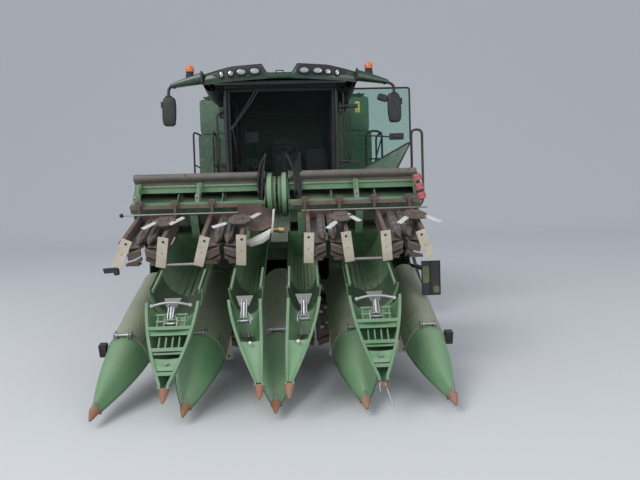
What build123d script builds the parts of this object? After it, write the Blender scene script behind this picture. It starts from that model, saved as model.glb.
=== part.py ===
from build123d import *
from math import cos, hypot, radians, sin, sqrt
import os

# Lengths are in millimetres and angles in degrees. The machine axes are x to the operator's left,
# y rearward and z up, with the front axle over x = 0, y = 0 and the ground at z = 0.

SEAT_GAP = 0.3

# Wheels and axles
FRONT_TYRE_D = 2060
FRONT_TYRE_W = 650
FRONT_RIM_D = 970
FRONT_TRACK_X = 1420
FRONT_LUGS = 20
REAR_TYRE_D = 1480
REAR_TYRE_W = 480
REAR_RIM_D = 660
REAR_TRACK_X = 1400
REAR_LUGS = 18
WHEELBASE = 3850
LUG_HEIGHT = 42
LUG_ANGLE = 38
RIM_WALL = 14
RIM_LIP = 22
DISC_T = 18
HUB_BORE_R = 70
KINGPIN_X = 1050
KINGPIN_R = 40

# Chassis and body
RAIL_X = (720, 820)
RAIL_Z = (1100, 1320)
RAIL_Y = (-600, 4300)
BODY_FLOOR_Z = 1240
DECK_Z = (2300, 2380)
DECK_X = 1550
DECK_Y = (362, 4880)
TANK_X = 1600
TANK_TOP_X = 1120
TANK_Y = (362, 2900)
SHOULDER_Z = 3000
TANK_TOP_Z = 3720
FRONT_PANEL_Z = 3985
SHEET = 30
COVER_RIDGE_Z = 3950
HOOD_X = 1400
HOOD_TOP_Z = 3450
HOOD_SHOULDER_Z = 3060
HOOD_LOUVRES = 7
SHIELD_X = 1600
SHIELD_T = 40
SHIELD_TOP_Z = 2336
SHIELD_HINGE = (1580, 2358)
SHIELD_HINGES_Y = (1300, 2950, 4700)

# Unloading auger
AUGER_X = 1390
AUGER_Y = 800
AUGER_Z = 3330
AUGER_R = 180
AUGER_LENGTH = 5900

# Cab
CAB_X = 870
CAB_Y = (-1500, 280)
CAB_Z = (2050, 3700)
CAB_WALL = 60
ROOF_X = 1155
ROOF_Y = (-1750, 350)
DOOR_T = 45
DOOR_HINGE_X = 905
DOOR_HINGE_Y = -1530
DOOR_REACH = 1090
DOOR_Z = (2125, 3660)
PLATFORM_X = 1750
PLATFORM_Z = (2075, 2108)
LADDER_REACH_X = 2270
MIRROR_REACH_X = 1800

# Feeder house and lift cylinders
FEEDER_PIVOT_Y = -300
FEEDER_PIVOT_Z = 1700
FEEDER_X = 625
LIFT_BASE = (-250, 1000)
LIFT_EYE = (-1750, 800)
LIFT_X = 420
LIFT_PIN_R = 22

# Corn header. u runs up the row units from the roll noses and v stands square on them.
SLOPE = 24
NOSE_Y = -3900
NOSE_Z = 300
ROW_X = (375, 1125)
WING_ROW_X = (1875, 2625)
FOLD_X = 1568
FOLD_V = 635
CENTER_END_X = 1550
WING_FRAME_X = (1590, 3010)
HEADER_BACK_Y = -2800
CROSS_AUGER = (-3090, 810)
AUGER_CORE_R = 95
FLIGHT_R = 207
FLIGHT_PITCH = 330
FLIGHT_T = 8
TROUGH_R = 235
DRIVE_TUBE = (-2932, 371)
DRIVE_TUBE_R = 30
DRUM_AXIS = (-2993, 582)
DRUM_R = 240
DRUM_SCALLOPS = 22
ARM_OFFSET = 187
ARM_T = 40
ROLL_R = 44
ROLL_LENGTH = 560
CHOPPER_OFFSET = 150
CHOPPER_U = 290
CHOPPER_DISC_R = 78
KNIFE_L = 200
KNIFE_W = 54
HOOD_BASE_V = 235
HOOD_TOP_V = 570
HOOD_WALL = 8
HOOD_U = (-470, 700)
SNOUT_HINGE_U = -486
SNOUT_HINGE_V = 578
SNOUT_TIP_U = -1294
SNOUT_TIP_V = 338
SNOUT_DROP = 30
PIN_R = 12
# Hinge ears of a hood and lugs of its snout, as shares of the divider's half width
EAR_SHARE = 0.36
LUG_SHARE = 0.26

# One row per divider: centre x, half width, offset of the tip
CENTER_DIVIDERS = ((0, 240, 0), (750, 240, 0), (-750, 240, 0), (1435, 200, 55), (-1435, 200, -55))
WING_DIVIDERS = ((2250, 240, 0), (2876, 155, 140))

SLOPE_Y = cos(radians(SLOPE))
SLOPE_Z = sin(radians(SLOPE))
HEADER_PLANE = Plane((0, NOSE_Y, NOSE_Z), x_dir=(1, 0, 0), z_dir=(0, -SLOPE_Z, SLOPE_Y))


def from_header(u, v):
    """The (y, z) of a point given along and above the row units."""
    return NOSE_Y + u * SLOPE_Y - v * SLOPE_Z, NOSE_Z + u * SLOPE_Z + v * SLOPE_Y


def lifted(u, v, angle):
    """A snout's (u, v) once it is lifted by an angle about its hinge."""
    du, dv = u - SNOUT_HINGE_U, v - SNOUT_HINGE_V
    c, s = cos(radians(angle)), sin(radians(angle))
    return SNOUT_HINGE_U + du * c + dv * s, SNOUT_HINGE_V - du * s + dv * c


HANGING_TIP = lifted(SNOUT_TIP_U, SNOUT_TIP_V, SNOUT_DROP)
FRONT_END_Y = from_header(HANGING_TIP[0], 2 * FOLD_V - HANGING_TIP[1])[0]
AUGER_END_Y = AUGER_Y + AUGER_LENGTH + 150
ORIGIN_X = (LADDER_REACH_X - MIRROR_REACH_X) / 2
ORIGIN_Y = (FRONT_END_Y + AUGER_END_Y) / 2


def block(x, y, z):
    """A box from three (low, high) pairs."""
    size = [pair[1] - pair[0] for pair in (x, y, z)]
    centre = [(pair[0] + pair[1]) / 2 for pair in (x, y, z)]
    return Pos(*centre) * Box(*size)


def side_prism(points, x0, x1):
    """A (y, z) outline extruded from x0 to x1."""
    return extrude(Plane.YZ.offset(x0) * Polygon(*points, align=None), amount=x1 - x0, dir=(1, 0, 0))


def front_prism(points, y0, y1):
    """An (x, z) outline extruded from y0 to y1."""
    plane = Plane((0, y1, 0), x_dir=(1, 0, 0), z_dir=(0, -1, 0))
    return extrude(plane * Polygon(*points, align=None), amount=y1 - y0, dir=(0, -1, 0))


def bar(start, end, radius):
    """A round bar between two points."""
    axis = Vector(*end) - Vector(*start)
    plane = Plane(start, z_dir=axis)
    return plane * Cylinder(radius, axis.length, align=(Align.CENTER, Align.CENTER, Align.MIN))


def pipe(points, radius):
    """Round bars joined by balls at their corners."""
    shape = bar(points[0], points[1], radius)
    for start, end in zip(points[1:], points[2:]):
        shape += Pos(*start) * Sphere(radius) + bar(start, end, radius)
    return shape


def both_sides(shape):
    return shape + mirror(shape, Plane.YZ)


def joined(shapes):
    total = shapes[0]
    for shape in shapes[1:]:
        total += shape
    return total


def group(shapes):
    """Separate solids of like pieces, kept together in one node."""
    return Compound([solid for shape in shapes for solid in shape.solids()])


def sloped(shape):
    """Takes a shape from header (x, u, v) to machine axes."""
    return HEADER_PLANE.location * shape


def fold_axis(side):
    y, z = from_header(0, FOLD_V)
    return Axis((side * FOLD_X, y, z), (0, SLOPE_Y, SLOPE_Z))


def folded(shape, side):
    """Turns a wing part from its working place to its place over the centre."""
    shape = shape if side > 0 else mirror(shape, Plane.YZ)
    return shape.rotate(fold_axis(side), 180)


def write(name, shape):
    os.makedirs("parts", exist_ok=True)
    moved = Pos(-ORIGIN_X, -ORIGIN_Y, 0) * shape
    export_step(moved, f"parts/{name}.step")


# Running gear

def tyre(diameter, width, rim_d, lugs):
    """A lugged tyre about the x axis, its middle at the origin."""
    radius = diameter / 2
    bead_r = rim_d / 2 + SEAT_GAP
    bead = width * 0.42
    tread_r = radius - LUG_HEIGHT
    shoulder_x = width * 0.47
    shoulder_r = tread_r - 28
    bulge_r = (bead_r + shoulder_r) / 2
    lip_r = bead_r + RIM_LIP + 4
    outline = Polyline((-bead, lip_r), (-bead, bead_r), (bead, bead_r), (bead, lip_r))
    outline += ThreePointArc((bead, lip_r), (width / 2, bulge_r), (shoulder_x, shoulder_r))
    outline += ThreePointArc((shoulder_x, shoulder_r), (0, tread_r), (-shoulder_x, shoulder_r))
    outline += ThreePointArc((-shoulder_x, shoulder_r), (-width / 2, bulge_r), (-bead, lip_r))
    carcass = revolve(make_face(Plane.XZ * outline), Axis.X)
    lug_l = width * 0.56
    lug_w = 48
    reach = (lug_l * sin(radians(LUG_ANGLE)) + lug_w * cos(radians(LUG_ANGLE))) / 2
    top = sqrt(radius**2 - reach**2)
    lug_h = top - shoulder_r + 25
    pieces = [carcass]
    for side in (1, -1):
        lug = Pos(side * width * 0.235, 0, top - lug_h / 2) * Rot(0, 0, side * LUG_ANGLE)
        lug *= Box(lug_l, lug_w, lug_h)
        for index in range(lugs):
            turn = (index + (0.5 if side > 0 else 0)) * 360 / lugs
            pieces.append(Rot(turn, 0, 0) * lug)
    return pieces[0].fuse(*pieces[1:])


def rim(rim_d, tyre_w, disc_x, side):
    """A dished rim about the x axis. Its disc lies at disc_x from the tyre's middle, inboard."""
    half = tyre_w * 0.42 + SEAT_GAP + 12
    outer = rim_d / 2
    inner = outer - RIM_WALL
    lip = outer + RIM_LIP
    d0 = disc_x
    d1 = disc_x + DISC_T
    points = (
        (-half, inner), (d0, inner), (d0, HUB_BORE_R), (d1, HUB_BORE_R), (d1, inner), (half, inner),
        (half, lip), (half - 12, lip), (half - 12, outer), (-half + 12, outer), (-half + 12, lip),
        (-half, lip),
    )
    shape = revolve(Plane.XZ * Polygon(*points, align=None), Axis.X)
    hand_hole = Pos(d0 + DISC_T / 2, 0, inner * 0.66) * Rot(0, 90, 0) * Cylinder(inner * 0.1, DISC_T * 3)
    for index in range(8):
        shape -= Rot(index * 45, 0, 0) * hand_hole
    return shape if side > 0 else mirror(shape, Plane.YZ)


FRONT_AXLE_Z = FRONT_TYRE_D / 2
REAR_AXLE_Z = REAR_TYRE_D / 2
FRONT_DISC_X = -80
REAR_DISC_X = -60
FRONT_HUB_X = FRONT_TRACK_X + FRONT_DISC_X
REAR_HUB_X = REAR_TRACK_X + REAR_DISC_X
FINAL_DRIVE_X = (930, 1080)


def x_cylinder(x0, x1, y, z, radius):
    return bar((x0, y, z), (x1, y, z), radius)


def front_axle():
    beam = block((0, FINAL_DRIVE_X[0]), (-130, 130), (900, RAIL_Z[0] - SEAT_GAP))
    drive = x_cylinder(FINAL_DRIVE_X[0], FINAL_DRIVE_X[1], 0, FRONT_AXLE_Z, 260)
    hub = x_cylinder(FINAL_DRIVE_X[1], FRONT_HUB_X - SEAT_GAP, 0, FRONT_AXLE_Z, 130)
    spigot = x_cylinder(FRONT_HUB_X - SEAT_GAP, FRONT_HUB_X + 60, 0, FRONT_AXLE_Z, HUB_BORE_R - 2)
    base_y, base_z = LIFT_BASE
    lug = block((LIFT_X - 62, LIFT_X - 38), (base_y - 55, -120), (base_z - 55, base_z + 55))
    pin = x_cylinder(LIFT_X - 38, LIFT_X + 34, base_y, base_z, LIFT_PIN_R)
    return both_sides(joined([beam, drive, hub, spigot, lug, pin]))


SLEEVE_R = 82
SLEEVE_H = 200


def rear_axle():
    beam = block((0, KINGPIN_X - 50), (WHEELBASE - 90, WHEELBASE + 90), (REAR_AXLE_Z - 90, REAR_AXLE_Z + 90))
    sleeve = Pos(KINGPIN_X, WHEELBASE, REAR_AXLE_Z) * Cylinder(SLEEVE_R, SLEEVE_H)
    bore = Pos(KINGPIN_X, WHEELBASE, REAR_AXLE_Z) * Cylinder(KINGPIN_R + SEAT_GAP, SLEEVE_H + 2)
    stand = block((0, 110), (WHEELBASE - 80, WHEELBASE + 80), (REAR_AXLE_Z + 90, RAIL_Z[0] - SEAT_GAP))
    return both_sides(beam + sleeve + stand - bore)


def knuckle(side):
    pin = Cylinder(KINGPIN_R, SLEEVE_H + 60)
    caps = [Pos(0, 0, s * (SLEEVE_H / 2 + 18)) * Cylinder(SLEEVE_R - 2, 24) for s in (1, -1)]
    arms = [block((0, 118), (-50, 50), (s * 118 - 12, s * 118 + 12)) for s in (1, -1)]
    yoke = block((92, 122), (-80, 80), (-130, 130))
    hub_x = REAR_HUB_X - KINGPIN_X
    stub = bar((122, 0, 0), (hub_x - SEAT_GAP, 0, 0), 100)
    spigot = bar((hub_x - SEAT_GAP, 0, 0), (hub_x + 50, 0, 0), HUB_BORE_R - 2)
    shape = Pos(KINGPIN_X, WHEELBASE, REAR_AXLE_Z) * joined([pin, *caps, *arms, yoke, stub, spigot])
    return shape if side > 0 else mirror(shape, Plane.YZ)


def chassis_frame():
    rail = block(RAIL_X, RAIL_Y, RAIL_Z)
    cheek = side_prism(((-1300, 2020), (-1300, 2050), (340, 2050), (340, 1300), (-600, 1300)), 720, 780)
    pivot = x_cylinder(700, 730, FEEDER_PIVOT_Y, FEEDER_PIVOT_Z, 60)
    frame = both_sides(rail + cheek + pivot)
    for y in (900, 2400, WHEELBASE, 4240):
        frame += block((-RAIL_X[1], RAIL_X[1]), (y - 60, y + 60), (RAIL_Z[0], RAIL_Z[0] + 120))
    frame += block((-70, 70), (4240, 4640), (HITCH_Z[0], HITCH_Z[1]))
    frame -= Pos(0, HITCH_Y, (HITCH_Z[0] + HITCH_Z[1]) / 2) * Cylinder(HITCH_R, 200)
    return frame


HITCH_Z = (1110, 1150)
HITCH_Y = 4580
HITCH_R = 16


# Body

COVER_HINGE_X = TANK_TOP_X + 20
COVER_HINGE_Z = TANK_TOP_Z + 14
COVER_HINGES_Y = (800, 1650, 2500)
COVER_HINGE_HALF = 60
COVER_PIN_R = 6
COVER_Y = (TANK_Y[0] + 52, TANK_Y[1])


def cover_arms_y():
    """The y of each arm that holds a cover's hinge pins."""
    return [y + s * (COVER_HINGE_HALF + 12) for y in COVER_HINGES_Y for s in (1, -1)]


def separator_body():
    side = RAIL_X[0] - SEAT_GAP
    step_y = CAB_Y[1] + 10
    outline = (
        (0, BODY_FLOOR_Z), (0, CAB_Z[0] - 10), (step_y, CAB_Z[0] - 10), (step_y, DECK_Z[0]),
        (4880, DECK_Z[0]), (4880, 1500), (4300, BODY_FLOOR_Z),
    )
    inner_y = (SHEET, step_y + SHEET, 4880 - SHEET)
    floor = BODY_FLOOR_Z + SHEET
    inside = (
        (inner_y[0], floor), (inner_y[0], CAB_Z[0] - 10 - SHEET), (inner_y[1], CAB_Z[0] - 10 - SHEET),
        (inner_y[1], DECK_Z[0] - SHEET), (inner_y[2], DECK_Z[0] - SHEET), (inner_y[2], 1517), (4287, floor),
    )
    shell = side_prism(outline, -side, side) - side_prism(inside, -side + SHEET, side - SHEET)
    shell -= block((-FEEDER_X + SHEET, FEEDER_X - SHEET), (-1, SHEET + 1), (1545, 1835))
    shell -= block((-640, 640), (4880 - SHEET - 1, 4881), (1600, 2200))
    shell += block((-DECK_X, DECK_X), DECK_Y, DECK_Z)
    hinge_x, hinge_z = SHIELD_HINGE
    for y in SHIELD_HINGES_Y:
        pin = bar((hinge_x, y - 70, hinge_z), (hinge_x, y + 70, hinge_z), 6)
        arms = [block((DECK_X - 1, hinge_x + 8), (y + s * 62 - 8, y + s * 62 + 8), (hinge_z - 8, hinge_z + 8))
                for s in (1, -1)]
        shell += both_sides(joined([pin, *arms]))
    return shell


def grain_tank():
    floor = DECK_Z[1] + SEAT_GAP
    outer = block((-TANK_X, TANK_X), TANK_Y, (floor, SHOULDER_Z))
    outer += block((-TANK_TOP_X, TANK_TOP_X), TANK_Y, (floor, TANK_TOP_Z))
    inside_y = (TANK_Y[0] + 40, TANK_Y[1] - SHEET)
    inner = block((-TANK_X + SHEET, TANK_X - SHEET), inside_y, (floor + SHEET, SHOULDER_Z - SHEET))
    inner += block((-TANK_TOP_X + SHEET, TANK_TOP_X - SHEET), inside_y, (floor + SHEET, TANK_TOP_Z + 1))
    panel = block((-TANK_X, TANK_X), (TANK_Y[0], TANK_Y[0] + 40), (floor, FRONT_PANEL_Z))
    panel = fillet(panel.edges().filter_by(Axis.Y).group_by(Axis.Z)[-1], 60)
    tank = outer - inner + panel
    arm_x = (TANK_TOP_X - 1, COVER_HINGE_X + 8)
    hinges = [block(arm_x, (y - 6, y + 6), (TANK_TOP_Z - 30, COVER_HINGE_Z + 8)) for y in cover_arms_y()]
    reach = COVER_HINGE_HALF + 18
    for y in COVER_HINGES_Y:
        hinges.append(bar((COVER_HINGE_X, y - reach, COVER_HINGE_Z), (COVER_HINGE_X, y + reach, COVER_HINGE_Z), COVER_PIN_R))
    return tank + both_sides(joined(hinges))


def tank_cover(side):
    points = (
        (COVER_HINGE_X, TANK_TOP_Z + 6), (6, COVER_RIDGE_Z), (6, COVER_RIDGE_Z + 22),
        (COVER_HINGE_X, TANK_TOP_Z + 28),
    )
    shape = front_prism(points, *COVER_Y)
    shape += block((COVER_HINGE_X - 40, COVER_HINGE_X), COVER_Y, (TANK_TOP_Z + SEAT_GAP, TANK_TOP_Z + 26))
    for y in COVER_HINGES_Y:
        ends = [(COVER_HINGE_X, y + s * COVER_HINGE_HALF, COVER_HINGE_Z) for s in (-1, 1)]
        shape += bar(*ends, 13)
        shape -= bar(*ends, COVER_PIN_R + SEAT_GAP)
    for y in cover_arms_y():
        shape -= block((COVER_HINGE_X - 45, COVER_HINGE_X + 20), (y - 12, y + 12), (TANK_TOP_Z, TANK_TOP_Z + 70))
    return shape if side > 0 else mirror(shape, Plane.YZ)


def rear_hood():
    outer = (
        (2930, 2380), (2930, HOOD_TOP_Z), (4600, HOOD_TOP_Z), (5500, 3050), (6250, 2150), (6300, 1500),
        (5150, 1500), (4905, 2380),
    )
    inner = (
        (2960, 2370), (2960, HOOD_TOP_Z - SHEET), (4593, HOOD_TOP_Z - SHEET), (5482, 3025),
        (6221, 2138), (6271, 1490), (5183, 1490), (4938, 2370),
    )
    low, high = HOOD_SHOULDER_Z, HOOD_TOP_Z + 10
    outside = side_prism(outer, -HOOD_X, HOOD_X)
    outside -= both_sides(block((TANK_TOP_X, HOOD_X + 1), (2900, 5600), (low, high)))
    inside = side_prism(inner, -HOOD_X + SHEET, HOOD_X - SHEET)
    inside -= both_sides(block((TANK_TOP_X - SHEET, HOOD_X + 1), (2900, 5600), (low - SHEET, high)))
    shell = outside - inside
    for index in range(HOOD_LOUVRES):
        z = 2560 + index * 66
        shell -= both_sides(block((HOOD_X - 12, HOOD_X + 1), (3120, 4300), (z, z + 34)))
    return shell


def engine_block():
    return block((-450, 450), (3200, 4300), (DECK_Z[1] + SEAT_GAP, 3250))


def straw_chopper():
    outline = ((5150, 1500 - SEAT_GAP), (5950, 1500 - SEAT_GAP), (6150, 1120), (5300, 1000), (5150, 1200))
    shape = side_prism(outline, -700, 700)
    for x in (-560, 0, 560):
        shape += side_prism(((5900, 1130), (6420, 1060), (6420, 1180), (5980, 1300)), x - 8, x + 8)
    return shape


def side_shield(side):
    points = (
        (1160, SHIELD_TOP_Z), (1160, 1750), (1330, 1250), (2750, 1250), (2980, 1720), (4860, 1720),
        (4860, SHIELD_TOP_Z),
    )
    shape = side_prism(points, SHIELD_X - SHIELD_T, SHIELD_X)
    shape -= block((SHIELD_X - 14, SHIELD_X + 1), (1500, 2650), (1420, 1440))
    hinge_x, hinge_z = SHIELD_HINGE
    for y in SHIELD_HINGES_Y:
        shape += bar((hinge_x, y - 48, hinge_z), (hinge_x, y + 48, hinge_z), 13)
        shape += block((hinge_x - 7, hinge_x + 7), (y - 48, y + 48), (SHIELD_TOP_Z - 1, hinge_z))
        shape -= bar((hinge_x, y - 50, hinge_z), (hinge_x, y + 50, hinge_z), 6 + SEAT_GAP)
    return shape if side > 0 else mirror(shape, Plane.YZ)


def auger_turret():
    pipe_part = Pos(AUGER_X, AUGER_Y, 0) * Cylinder(150, 110 - SEAT_GAP, align=(Align.CENTER, Align.CENTER, Align.MIN))
    flange = Pos(AUGER_X, AUGER_Y, 0) * Cylinder(195, 25, align=(Align.CENTER, Align.CENTER, Align.MIN))
    return Pos(0, 0, SHOULDER_Z + SEAT_GAP) * (pipe_part + flange)


def unloading_auger():
    seat = SHOULDER_Z + 110 + SEAT_GAP
    collar = bar((AUGER_X, AUGER_Y, seat), (AUGER_X, AUGER_Y, AUGER_Z), 150)
    ball = Pos(AUGER_X, AUGER_Y, AUGER_Z) * Sphere(AUGER_R)
    end_y = AUGER_Y + AUGER_LENGTH
    tube = bar((AUGER_X, AUGER_Y, AUGER_Z), (AUGER_X, end_y, AUGER_Z), AUGER_R)
    band = bar((AUGER_X, AUGER_Y + 2900, AUGER_Z), (AUGER_X, AUGER_Y + 2960, AUGER_Z), AUGER_R + 8)
    spout = side_prism(((end_y - 250, AUGER_Z), (end_y + 150, AUGER_Z + 60), (end_y + 150, AUGER_Z - 420),
                        (end_y - 150, AUGER_Z - 420)), AUGER_X - 165, AUGER_X + 165)
    return collar + ball + tube + band + spout


def exhaust():
    return bar((-1000, 3250, HOOD_TOP_Z + SEAT_GAP), (-1000, 3250, HOOD_TOP_Z + 480), 65)


# Cab

def cab_shell():
    outer = block((-CAB_X, CAB_X), CAB_Y, CAB_Z)
    inside_x = (-CAB_X + CAB_WALL, CAB_X - CAB_WALL)
    inside_y = (CAB_Y[0] + CAB_WALL, CAB_Y[1] - CAB_WALL)
    shell = outer - block(inside_x, inside_y, (CAB_Z[0] + CAB_WALL, CAB_Z[1] + 1))
    for cut in window_boxes(0):
        shell -= cut
    shell -= block((CAB_X - 80, CAB_X + 1), DOORWAY_Y, (CAB_Z[0] + CAB_WALL, WINDOW_TOP_Z))
    for z in DOOR_HINGES_Z:
        shell += block((CAB_X - 50, DOOR_HINGE_X + 14), (DOOR_HINGE_Y - 14, CAB_Y[0]), (z - 75, z - 62))
        shell += bar((DOOR_HINGE_X, DOOR_HINGE_Y, z - 70), (DOOR_HINGE_X, DOOR_HINGE_Y, z + 60), 8)
    return shell


WINDOW_TOP_Z = 3640
DOORWAY_Y = (-1430, -460)
DOOR_HINGES_Z = (2540, 3380)
# x, y and z ranges of each window opening, each through its wall
WINDOWS = (
    ((-800, 800), (-1500, -1440), (2330, WINDOW_TOP_Z)),
    ((-870, -810), (-1400, -460), (2420, WINDOW_TOP_Z)),
    ((-870, -810), (-400, 180), (2600, WINDOW_TOP_Z)),
    ((810, 870), (-400, 180), (2600, WINDOW_TOP_Z)),
    ((-700, 700), (220, 280), (2850, WINDOW_TOP_Z)),
)


def window_boxes(gap):
    """Boxes of the window openings, or of panes standing gap inside their edges."""
    boxes = []
    for ranges in WINDOWS:
        thin = min(range(3), key=lambda i: ranges[i][1] - ranges[i][0])
        grown = []
        for i, (low, high) in enumerate(ranges):
            if i == thin:
                middle = (low + high) / 2
                half = 3 if gap else (high - low)
                grown.append((middle - half, middle + half))
            else:
                grown.append((low + gap, high - gap))
        boxes.append(block(*grown))
    return boxes


def cab_glass():
    return group(window_boxes(SEAT_GAP))


def cab_roof():
    crown = (
        (-ROOF_X, 3745), (-ROOF_X, 3850), (-700, 3960), (-270, 3985), (-185, 3850), (185, 3850),
        (270, 3985), (700, 3960), (ROOF_X, 3850), (ROOF_X, 3745),
    )
    roof = front_prism(crown, ROOF_Y[0], -650)
    roof += block((-ROOF_X, ROOF_X), (-650, ROOF_Y[1]), (3745, 3850))
    roof = fillet(roof.edges().filter_by(Axis.Z).filter_by(lambda edge: abs(edge.center().X) > ROOF_X - 1), 80)
    recess = front_prism(LAMP_RECESS, ROOF_Y[0] - 1, ROOF_Y[0] + LAMP_DEPTH)
    roof -= both_sides(recess)
    roof += block((-1000, 1000), (ROOF_Y[0] + 60, ROOF_Y[1] - 20), (CAB_Z[1] + SEAT_GAP, 3746))
    pod = front_prism(((ROOF_X - 20, 3875), (ROOF_X + 60, 3880), (1640, 3735), (1640, 3700), (ROOF_X - 20, 3750)),
                      -1700, -1560)
    pod += Pos(BEACON_X, BEACON_Y, 3800) * Cylinder(58, 2 * (BEACON_Z - SEAT_GAP - 3800))
    swell = Plane((1000, -1575, 3746), x_dir=(1, 0, 0), z_dir=(0, -1, 0)) * Ellipse(150, 215)
    pod += extrude(swell, amount=160) & block((840, 1160), (-1740, -1570), (3520, 3746))
    return roof + both_sides(pod)


# x, z and radius of each lamp on one side of the roof's face, and the (x, z) outline of the recess round them
ROOF_LAMPS = ((370, 3862, 52), (565, 3852, 52), (712, 3836, 34), (850, 3832, 34))
LAMP_RECESS = ((300, 3792), (290, 3880), (370, 3935), (660, 3925), (930, 3862), (940, 3810), (860, 3792))
LAMP_DEPTH = 16
BEACON_X = 1375
BEACON_Y = -1630
BEACON_Z = 3845


def roof_lights():
    lamps = []
    for side in (1, -1):
        for x, z, radius in ROOF_LAMPS:
            seat_y = ROOF_Y[0] + LAMP_DEPTH - SEAT_GAP
            lamps.append(bar((side * x, ROOF_Y[0] - 22, z), (side * x, seat_y, z), radius))
        foot = (side * BEACON_X, BEACON_Y, BEACON_Z)
        lamps.append(bar(foot, (side * BEACON_X, BEACON_Y, 3950), 50) + Pos(side * BEACON_X, BEACON_Y, 3945) * Sphere(48))
    return group(lamps)


def mirrors():
    arm = pipe(((1600, -1630, 3702.5), (1600, -1630, 3672), (1700, -1700, 3668), (1705, -1700, 3560)), 14)
    head = block((MIRROR_REACH_X - 190, MIRROR_REACH_X), (-1735, -1665), (3140, 3570))
    head = fillet(head.edges(), 30)
    small = block((1430, 1590), (-1730, -1690), (3440, 3550))
    small = fillet(small.edges(), 18)
    link = bar((1500, -1700, 3500), (1700, -1700, 3600), 10)
    return both_sides(joined([arm, head, small, link]))


def cab_interior():
    floor = CAB_Z[0] + CAB_WALL + SEAT_GAP
    pedestal = block((-160, 160), (-560, -180), (floor, 2400))
    cushion = block((-250, 250), (-620, -140), (2400, 2540))
    back = side_prism(((-240, 2540), (-130, 2540), (-60, 3150), (-160, 3150)), -240, 240)
    rests = both_sides(block((250, 320), (-600, -180), (2520, 2620)))
    column = bar((0, -1080, floor + 40), (0, -960, 2820), 45)
    foot = block((-120, 120), (-1200, -960), (floor, floor + 80))
    wheel = Plane((0, -955, 2835), z_dir=(0, 0.35, 1)) * (Cylinder(200, 26) - Cylinder(170, 30)
                                                         + Box(350, 40, 20) + Cylinder(50, 26))
    seat = joined([pedestal, cushion, back, rests])
    return group([seat, joined([column, foot, wheel])])


def door_outline(inset):
    """The door in (x, z) as it stands open, shrunk by inset."""
    x0 = DOOR_HINGE_X + 22 + inset
    x1 = DOOR_HINGE_X + DOOR_REACH - inset
    z0 = DOOR_Z[0] + inset
    z1 = DOOR_Z[1] - inset
    return x0, x1, z0, z1


def cab_door():
    x0, x1, z0, z1 = door_outline(0)
    y = (DOOR_HINGE_Y - DOOR_T / 2, DOOR_HINGE_Y + DOOR_T / 2)
    leaf = front_prism(((x0, z0), (x0, z1), (x1, z1), (x1, DOOR_SILL_Z), (x1 - 370, z0)), *y)
    i0, i1, _, i3 = door_outline(DOOR_RAIL)
    leaf -= block((i0, i1), (y[0] - 1, y[1] + 1), (DOOR_SILL_Z, i3))
    for z in DOOR_HINGES_Z:
        leaf -= block((x0 - 1, DOOR_HINGE_X + 60), (y[0] - 1, y[1] + 1), (z - 82, z - 56))
        knuckle_tube = Pos(DOOR_HINGE_X, DOOR_HINGE_Y, z - 5) * (Cylinder(16, 100) + Pos(16, 0, 0) * Box(32, 14, 100))
        leaf += knuckle_tube - Pos(DOOR_HINGE_X, DOOR_HINGE_Y, z - 5) * Cylinder(8 + SEAT_GAP, 120)
    leaf += block((x1 - 190, x1 - 27), (y[1] - 1, y[1] + 40), (2880, 2950))
    return leaf


DOOR_RAIL = 38
DOOR_SILL_Z = 2800


def cab_door_glass():
    i0, i1, _, i3 = door_outline(DOOR_RAIL + SEAT_GAP)
    return block((i0, i1), (DOOR_HINGE_Y - 3, DOOR_HINGE_Y + 3), (DOOR_SILL_Z + SEAT_GAP, i3))


def platform():
    deck = block((CAB_X + SEAT_GAP, PLATFORM_X), (-1300, 300), PLATFORM_Z)
    hoop = pipe(((1440, -420, 2090), (1440, -420, 3190), (1720, -420, 3190), (1720, -420, 2090)), 20)
    side_rail = pipe(((1720, -420, 3190), (1720, 260, 3190), (1720, 260, 2090)), 20)
    mid_rail = bar((1720, -420, 2640), (1720, 260, 2640), 16)
    stay = bar((1440, -420, 2200), (1720, -420, 3100), 12)
    left = joined([deck, hoop, side_rail, mid_rail, stay])
    right_deck = block((-1330, -CAB_X - SEAT_GAP), (-1100, 300), PLATFORM_Z)
    right_rail = pipe(((-1300, -100, 2090), (-1300, -100, 3300), (-1300, 250, 3300), (-1300, 250, 2090)), 20)
    return group([left, right_deck + right_rail])


def ladder():
    parts = []
    for y in (-1240, -760):
        parts.append(bar((1790, y, 2060), (2180, y, 480), 26))
        rail_x = LADDER_REACH_X - 20
        parts.append(pipe(((1790, y, 2090), (2075, y, 2400), (2075, y, 3040), (rail_x, y, 3040), (rail_x, y, 1900),
                           (1920, y, 1560)), 20))
    steps = 5
    for index in range(steps):
        z = 500 + index * 320
        x = 1790 + (2060 - z) * (2180 - 1790) / (2060 - 480)
        parts.append(block((x - 90, x + 90), (-1250, -750), (z, z + 30)))
    parts.append(block((PLATFORM_X + SEAT_GAP, 1800), (-1260, -740), PLATFORM_Z))
    front = joined(parts)
    rear = [bar((x, 6330, 900), (x, 6330, 2050), 18) for x in (-1050, -650)]
    rear += [bar((-1050, 6330, z), (-650, 6330, z), 14) for z in (960, 1240, 1520, 1800)]
    rear += [block((x - 12, x + 12), (6295.8, 6330), (1560, 1600)) for x in (-1050, -650)]
    return group([front, joined(rear)])


# Feeder house and its cylinders

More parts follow.
